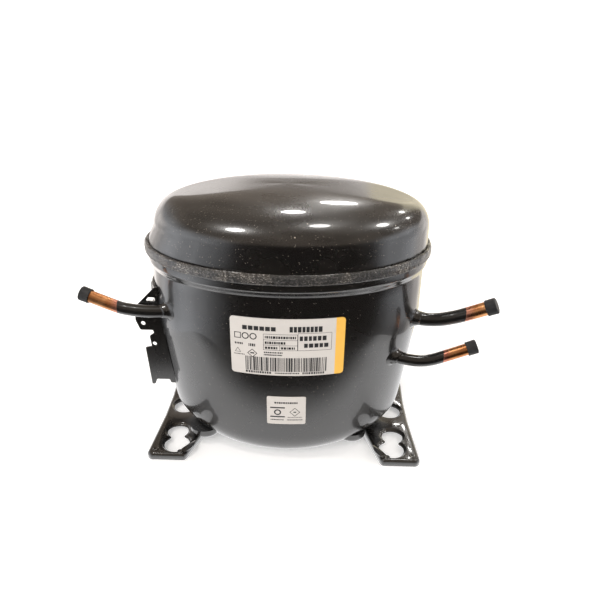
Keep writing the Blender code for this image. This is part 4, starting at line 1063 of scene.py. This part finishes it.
ratingLabel = {
    "centre": (2.8 * mm, 100.0 * mm),
    "size": (78.0 * mm, 45.0 * mm),
    "corner": 2.4 * mm,
    "strip": 6.3 * mm,
    # runs of blocks: x, z, width and height, then the shortest and longest block and the gap
    "runs": [(1.5, 12.7, 22.5, 4.2, 1.8, 2.6, 0.6), (-15.2, 7.6, 21.0, 1.9), (-15.2, 3.4, 14.0, 1.9),
             (-15.2, -0.6, 8.5, 1.8), (-4.2, -0.6, 9.5, 1.8), (8.4, 6.2, 20.5, 3.5, 2.0, 3.0, 0.8),
             (11.4, 0.8, 16.5, 3.3, 2.0, 3.0, 0.8), (-16.0, -4.0, 13.5, 1.0, 0.4, 1.2, 0.3),
             (-16.0, -6.0, 12.5, 1.0, 0.4, 1.2, 0.3), (-36.0, 1.4, 5.6, 1.5, 0.5, 1.4),
             (-26.4, 0.6, 5.0, 2.2), (-36.8, -7.0, 7.4, 0.7, 0.4, 1.0, 0.3)],
    "stripes": (-29.0, -19.2, 55.5, 11.6),
    "footRuns": [(-29.0, -21.3, 18.5, 1.7, 0.8, 1.4, 0.5), (-8.6, -21.0, 17.0, 1.0, 0.4, 1.1, 0.35),
                 (10.6, -21.3, 16.0, 1.7, 0.8, 1.4, 0.5)],
    "frames": [(-16.3, -1.6, 23.4, 12.6, 0.25), (7.1, -1.6, 23.0, 13.6, 0.25), (-36.2, 6.2, 4.6, 4.6, 0.55)],
    "bars": [(-16.3, 6.4, 23.4, 0.25), (-16.3, 2.3, 23.4, 0.25), (-5.2, -1.6, 0.25, 3.9),
             (-25.4, -5.3, 2.8, 1.0)],
    "title": (-30.5, 13.2, 3.2, 3.2),
    "titlePitch": 3.9,
    "rings": [(-28.6, 8.5, 2.5, 0.75, 20), (-23.2, 8.5, 2.5, 0.75, 20),
              (-34.0, -3.7, 2.5, 0.6, 3, math.pi / 2), (-24.0, -4.9, 3.5, 0.65, 4)],
}
noticeLabel = {
    "centre": (2.2 * mm, 46.5 * mm),
    "size": (28.0 * mm, 25.0 * mm),
    "corner": 1.3 * mm,
    "runs": [(-8.5, 6.2, 16.6, 1.5, 0.8, 1.6, 0.4), (1.0, -6.4, 10.6, 0.5, 0.4, 1.0, 0.25),
             (-11.4, -9.0, 10.2, 0.9, 0.5, 1.1, 0.3), (0.6, -9.0, 11.2, 0.9, 0.5, 1.1, 0.3)],
    "bars": [(-11.6, 2.0, 10.6, 1.1), (-11.6, -6.2, 10.6, 1.1), (5.2, -1.9, 2.0, 1.0)],
    "rings": [(-6.3, -1.6, 2.6, 1.0, 20), (6.2, -1.4, 3.9, 0.6, 4)],
}
film = {
    "gap": 0.3 * mm,
    "sheet": 0.25 * mm,
    "inkGap": 0.01 * mm,
    "ink": 0.03 * mm,
}


def boxOutline(low, high, radii):
    # a rectangle with its own radius at each corner, given from the lower left anticlockwise
    corners = [Vector(low), Vector((high[0], low[1])), Vector(high), Vector((low[0], high[1]))]
    outline = []
    for i, (corner, radius) in enumerate(zip(corners, radii)):
        if radius <= 0:
            outline.append(corner)
            continue
        before = (corners[i - 1] - corner).normalized() * radius
        after = (corners[(i + 1) % 4] - corner).normalized() * radius
        centre = corner + before + after
        start = math.atan2((corner + before - centre).y, (corner + before - centre).x)
        outline += arcPoints(centre, radius, start, start + math.pi / 2, 6)
    return outline


def wrapped(name, outlines, label, lift, thickness, finish):
    # flat shapes, laid on the wall's front and given a thickness
    bm = bmesh.new()
    for outline in outlines:
        bm.faces.new([bm.verts.new((p.x, 0, p.y)) for p in outline])
    width, height = label["size"]
    cuts = [((1, 0, 0), blend(-width / 2, width / 2, k / 36)) for k in range(1, 36)]
    cuts += [((0, 0, 1), blend(-height / 2, height / 2, k / 8)) for k in range(1, 8)]
    for normal, at in cuts:
        everything = bm.verts[:] + bm.edges[:] + bm.faces[:]
        bmesh.ops.bisect_plane(bm, geom=everything, dist=1e-7, plane_co=Vector(normal) * at, plane_no=normal)
    centreX, centreZ = label["centre"]
    for vert in bm.verts:
        vert.co = frontPoint(centreX + vert.co.x, centreZ + vert.co.z, lift)
    bm.normal_update()
    for face in bm.faces:
        if face.normal.y > 0:
            face.normal_flip()
    mesh = bpy.data.meshes.new(name)
    bm.to_mesh(mesh)
    bm.free()
    obj = bpy.data.objects.new(name, mesh)
    bpy.context.scene.collection.objects.link(obj)
    mesh.materials.append(finish)
    wallBy(obj, thickness, 1.0)
    settle(obj)
    return obj


def bar(x, z, width, height):
    # a filled mark by its lower left corner, in millimetres from the label's centre
    return boxOutline((x * mm, z * mm), ((x + width) * mm, (z + height) * mm), (0, 0, 0, 0))


def frameBars(x, z, width, height, line):
    inner = height - 2 * line
    return [bar(x, z, width, line), bar(x, z + height - line, width, line),
            bar(x, z + line, line, inner), bar(x + width - line, z + line, line, inner)]


def ringMarks(x, z, radius, line, sides, turn=0.0):
    marks = []
    for i in range(sides):
        a, b = (turn + 2 * math.pi * k / sides for k in (i, i + 1))
        marks.append([Vector((x + r * math.cos(t), z + r * math.sin(t))) * mm
                      for t, r in ((a, radius), (b, radius), (b, radius - line), (a, radius - line))])
    return marks


def dashes(x, z, width, height, low=0.5, high=1.9, gap=0.45):
    # a run of short blocks that stands for a printed line
    marks, end = [], x + width
    while x < end - low:
        size = min(dice.uniform(low, high), end - x)
        marks.append(bar(x, z, size, height))
        x += size + gap
    return marks


def stripes(x, z, width, height):
    marks, end = [], x + width
    while x < end:
        size = dice.choice((0.4, 0.5, 0.8, 1.2))
        marks.append(bar(x, z, size, height))
        x += size + dice.choice((0.35, 0.45, 0.75))
    return marks


def makeSheet(name, label, low, high, radii, finish, *nodes):
    sheet = wrapped(name, [boxOutline(low, high, radii)], label, film["gap"], film["sheet"], finishes[finish])
    mount(sheet, "shell", "label_paper", *nodes)


def makePrint(name, label, marks):
    marks += [bar(*place) for place in label["bars"]]
    for place in label["rings"]:
        marks += ringMarks(*place)
    lift = film["gap"] + film["sheet"] + film["inkGap"]
    mount(wrapped(name, marks, label, lift, film["ink"], finishes["ink"]), "shell", "label_paper")


def makeRatingLabel():
    label = ratingLabel
    width, height = label["size"]
    radius, split = label["corner"], width / 2 - label["strip"]
    makeSheet("ratingLabel", label, (-width / 2, -height / 2), (split, height / 2), (radius, 0, 0, radius),
              "paper", "rating_label")
    makeSheet("ratingStrip", label, (split, -height / 2), (width / 2, height / 2), (0, radius, radius, 0),
              "strip")
    x, *rest = label["title"]
    marks = [bar(x + label["titlePitch"] * k, *rest) for k in range(6)]
    for run in label["runs"]:
        marks += dashes(*run)
    marks += stripes(*label["stripes"])
    for run in label["footRuns"]:
        marks += dashes(*run)
    for box in label["frames"]:
        marks += frameBars(*box)
    makePrint("ratingPrint", label, marks)


def makeNoticeLabel():
    label = noticeLabel
    width, height = label["size"]
    makeSheet("noticeLabel", label, (-width / 2, -height / 2), (width / 2, height / 2), [label["corner"]] * 4,
              "paper", "notice_label")
    marks = []
    for run in label["runs"]:
        marks += dashes(*run)
    makePrint("noticePrint", label, marks)


makeRatingLabel()
makeNoticeLabel()
print("labels")


# --- what hangs inside the shell keeps its CAD shape and takes a finish

def numbered(name, count):
    return [f"{name}_{i + 1}" for i in range(count)]


insideFinish = {
    "steel": ["terminal_cup", *numbered("terminal_pin", 3), *numbered("stator_bolt", 4), "valve_plate",
              "reed_stop", *numbered("head_bolt", 4), "discharge_muffler", "thrust_race_lower",
              "thrust_race_upper", "thrust_ball_cage", "oil_pickup", "piston", "wrist_pin"],
    "springSteel": [*numbered("spring", 4), "suction_reed", "discharge_reed"],
    "lamination": ["stator_core", "rotor_core"],
    "wire": ["stator_winding"],
    "aluminium": ["rotor_cage", "cylinder_head"],
    "iron": ["crankcase", "crankshaft", "connecting_rod"],
    "brass": ["balance_weight"],
    "fibre": ["valve_gasket", "head_gasket"],
    "nylon": ["suction_muffler", "lead_socket"],
    "sleeve": ["motor_lead"],
    "copper": ["shock_loop", "suction_tube", "process_tube", "discharge_tube"],
    "glass": ["terminal_glass"],
    "rubber": ["suction_cap", "process_cap", "discharge_cap"],
    "paper": ["rating_label", "notice_label"],
    "weldScale": ["seam_weld"],
    "wallPaint": ["lower_shell", "upper_shell", "base_plate_left", "base_plate_right", "suction_collar",
                  "process_collar", "discharge_collar", "terminal_fence"],
}
for finishName, nodes in insideFinish.items():
    for node in nodes:
        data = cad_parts[node].data
        data.materials.clear()
        data.materials.append(finishes[finishName])
print("CAD nodes with a finish:", sum(len(nodes) for nodes in insideFinish.values()))


# --- studio

studio = {
    "radius": 3.2,
    "bend": 0.8,
    "wallHeight": 3.0,
    "floorGlow": 0.34,
    "cardSize": (0.46, 0.275),
    "cardCentre": (0.0, -0.0025),
    "cardGlow": 1.15,
    "cardFade": 0.05,
    "cardCorner": 0.06,
}


def makeStudio():
    # a pale floor that curves up into a wall all round, left out of reflections
    bm = bmesh.new()
    radius, bend = studio["radius"], studio["bend"]
    profile = [(0.4, 0.0), (1.2, 0.0), (radius - bend, 0.0)]
    for k in range(1, 9):
        turn = math.pi / 2 * k / 8
        profile.append((radius - bend + bend * math.sin(turn), bend * (1 - math.cos(turn))))
    profile.append((radius, studio["wallHeight"]))
    made = loft(bm, turnedRows(profile, (0, 0, 0), (0, 0, 1), 96))
    bm.faces.new(made[0])
    pale = Finish("paleFloor", {"Roughness": 0.8, "Specular IOR Level": 0.1,
                                "Emission Strength": studio["floorGlow"]})
    soft = pale.cloud(3.0, 2.0)
    pale.drive("Base Color", pale.mix(soft, (0.88, 0.88, 0.88), (0.90, 0.90, 0.90)))
    pale.drive("Emission Color", pale.mix(soft, (1.0, 1.0, 1.0), (0.98, 0.98, 0.98)))
    floor = build("studioFloor", bm, pale.material, 60)
    floor.visible_glossy = False

    # the sheet that the paint mirrors round its feet
    bm = bmesh.new()
    width, depth = studio["cardSize"]
    centreX, centreY = studio["cardCentre"]
    outline = boxOutline((centreX - width / 2, centreY - depth / 2),
                         (centreX + width / 2, centreY + depth / 2), [studio["cardCorner"]] * 4)
    bm.faces.new([bm.verts.new((p.x, p.y, -0.5 * mm)) for p in outline])
    glow = Finish("cardGlow", {"Base Color": (0.0, 0.0, 0.0), "Emission Strength": studio["cardGlow"]})
    across = glow.cloud(6.0, 2.0)
    front = centreY - depth / 2
    reach = glow.fade(glow.along(1), front, front + studio["cardFade"])
    tint = glow.mix(across, (0.96, 0.97, 1.0), (1.0, 0.98, 0.96))
    glow.drive("Emission Color", glow.mix(reach, (0.0, 0.0, 0.0), tint))
    card = build("bounceCard", bm, glow.material)
    card.visible_camera = False
    card.visible_diffuse = False
    card.visible_shadow = False


def makeSurroundings():
    # what the gloss mirrors: a dim front, a brown ceiling, bright sides and a bright band behind
    world = bpy.data.worlds.new("workshop")
    world.use_nodes = True
    bpy.context.scene.world = world
    sky = Graph(world.node_tree)
    x, y, z = (sky.along(axis, "Generated") for axis in "XYZ")
    left = sky.fade(0.0 - x, 0.50, 0.86)
    right = sky.fade(x, 0.80, 0.98)
    behind = sky.fade(y, 0.15, 0.6) * (1.0 - sky.fade(z, 0.195, 0.245))
    slope = 0.07 + 1.1 * x - z
    panel = sky.fade(slope, 0.0, 0.05) * sky.fade(x, 0.12, 0.17) * (1.0 - sky.fade(x, 0.48, 0.62)) * (y > 0.0)
    above = sky.fade(z, 0.05, 0.34)
    low = 1.0 - sky.fade(z, 0.25, 0.60)
    sides = sky.node("Clamp", None, {0: (left + right) * low})
    drift = sky.node("TexNoise", None, {"Vector": sky.place("Generated"), "Scale": 2.4, "Detail": 3.0})
    room = sky.mix(above, (0.034, 0.028, 0.024), (0.34, 0.285, 0.235))
    room = sky.mix(sides, room, (1.15, 1.17, 1.22))
    room = sky.mix(behind, room, (1.35, 1.27, 1.22))
    room = sky.mix(panel, room, (1.30, 1.17, 0.88))
    shade = sky.fade(drift, 0.30, 0.70)
    shadow = sky.node("VectorMath", {"operation": "SCALE"}, {0: room, "Scale": 0.62 + 0.62 * shade})
    background = world.node_tree.nodes["Background"]
    sky.feed(background.inputs["Color"], shadow)
    background.inputs["Strength"].default_value = 1.0


lamps = [
    # place, size across and along, brightness
    ((-0.808, -0.323, 1.785), (0.34, 0.34), 24.0),
    ((-0.016, 0.980, 1.665), (0.20, 0.18), 22.0),
    ((0.258, 1.378, 1.283), (0.26, 0.20), 24.0),
    ((0.343, 0.144, 1.945), (0.26, 0.26), 20.0),
    ((1.164, 0.259, 1.574), (0.26, 0.26), 18.0),
    ((1.012, 1.063, 1.267), (0.13, 0.13), 16.0),
    ((1.325, 0.808, 1.176), (0.13, 0.13), 14.0),
    ((1.521, 0.145, 1.232), (0.14, 0.14), 10.0),
]


softKey = {
    "place": (-0.9, -1.5, 1.5),
    "size": 1.4,
    "power": 16.0,
}


def areaLight(name, place, power):
    light = bpy.data.lights.new(name, "AREA")
    light.energy = power
    lamp = bpy.data.objects.new(name, light)
    lamp.location = place
    lamp.rotation_euler = (Vector((0, 0, 0.17)) - lamp.location).to_track_quat("-Z", "Y").to_euler()
    bpy.context.scene.collection.objects.link(lamp)
    return lamp


def makeLights():
    for i, (place, (across, along), glow) in enumerate(lamps):
        lamp = areaLight(f"ceilingLamp{i}", place, glow * math.pi * math.pi / 4 * across * along)
        lamp.data.shape = "ELLIPSE"
        lamp.data.size, lamp.data.size_y = across, along
        lamp.data.color = (1.0, 0.98, 0.95)
    key = areaLight("softKey", softKey["place"], softKey["power"])
    key.data.size = softKey["size"]
    key.visible_glossy = False


camera = {
    "place": (17.7 * mm, -424.6 * mm, 298.8 * mm),
    "lens": 36.0,
    "sensor": 36.0,
    "yaw": -0.019,
    "down": math.radians(24.47),
    "roll": 0.016,
}


def makeCamera():
    data = bpy.data.cameras.new("studioCamera")
    data.lens, data.sensor_width = camera["lens"], camera["sensor"]
    data.clip_start, data.clip_end = 0.02, 20.0
    yaw, down, roll = camera["yaw"], camera["down"], camera["roll"]
    ahead = Vector((math.sin(yaw) * math.cos(down), math.cos(yaw) * math.cos(down), -math.sin(down)))
    right = Vector((math.cos(yaw), -math.sin(yaw), 0))
    up = right.cross(ahead)
    right, up = (math.cos(roll) * right + math.sin(roll) * up, math.cos(roll) * up - math.sin(roll) * right)
    turn = Matrix((right, up, -ahead)).transposed().to_4x4()
    obj = bpy.data.objects.new("studioCamera", data)
    bpy.context.scene.collection.objects.link(obj)
    obj.matrix_world = Matrix.Translation(camera["place"]) @ turn
    bpy.context.scene.camera = obj


makeStudio()
makeSurroundings()
makeLights()
makeCamera()
bpy.context.scene.view_settings.view_transform = "Standard"
print("studio")
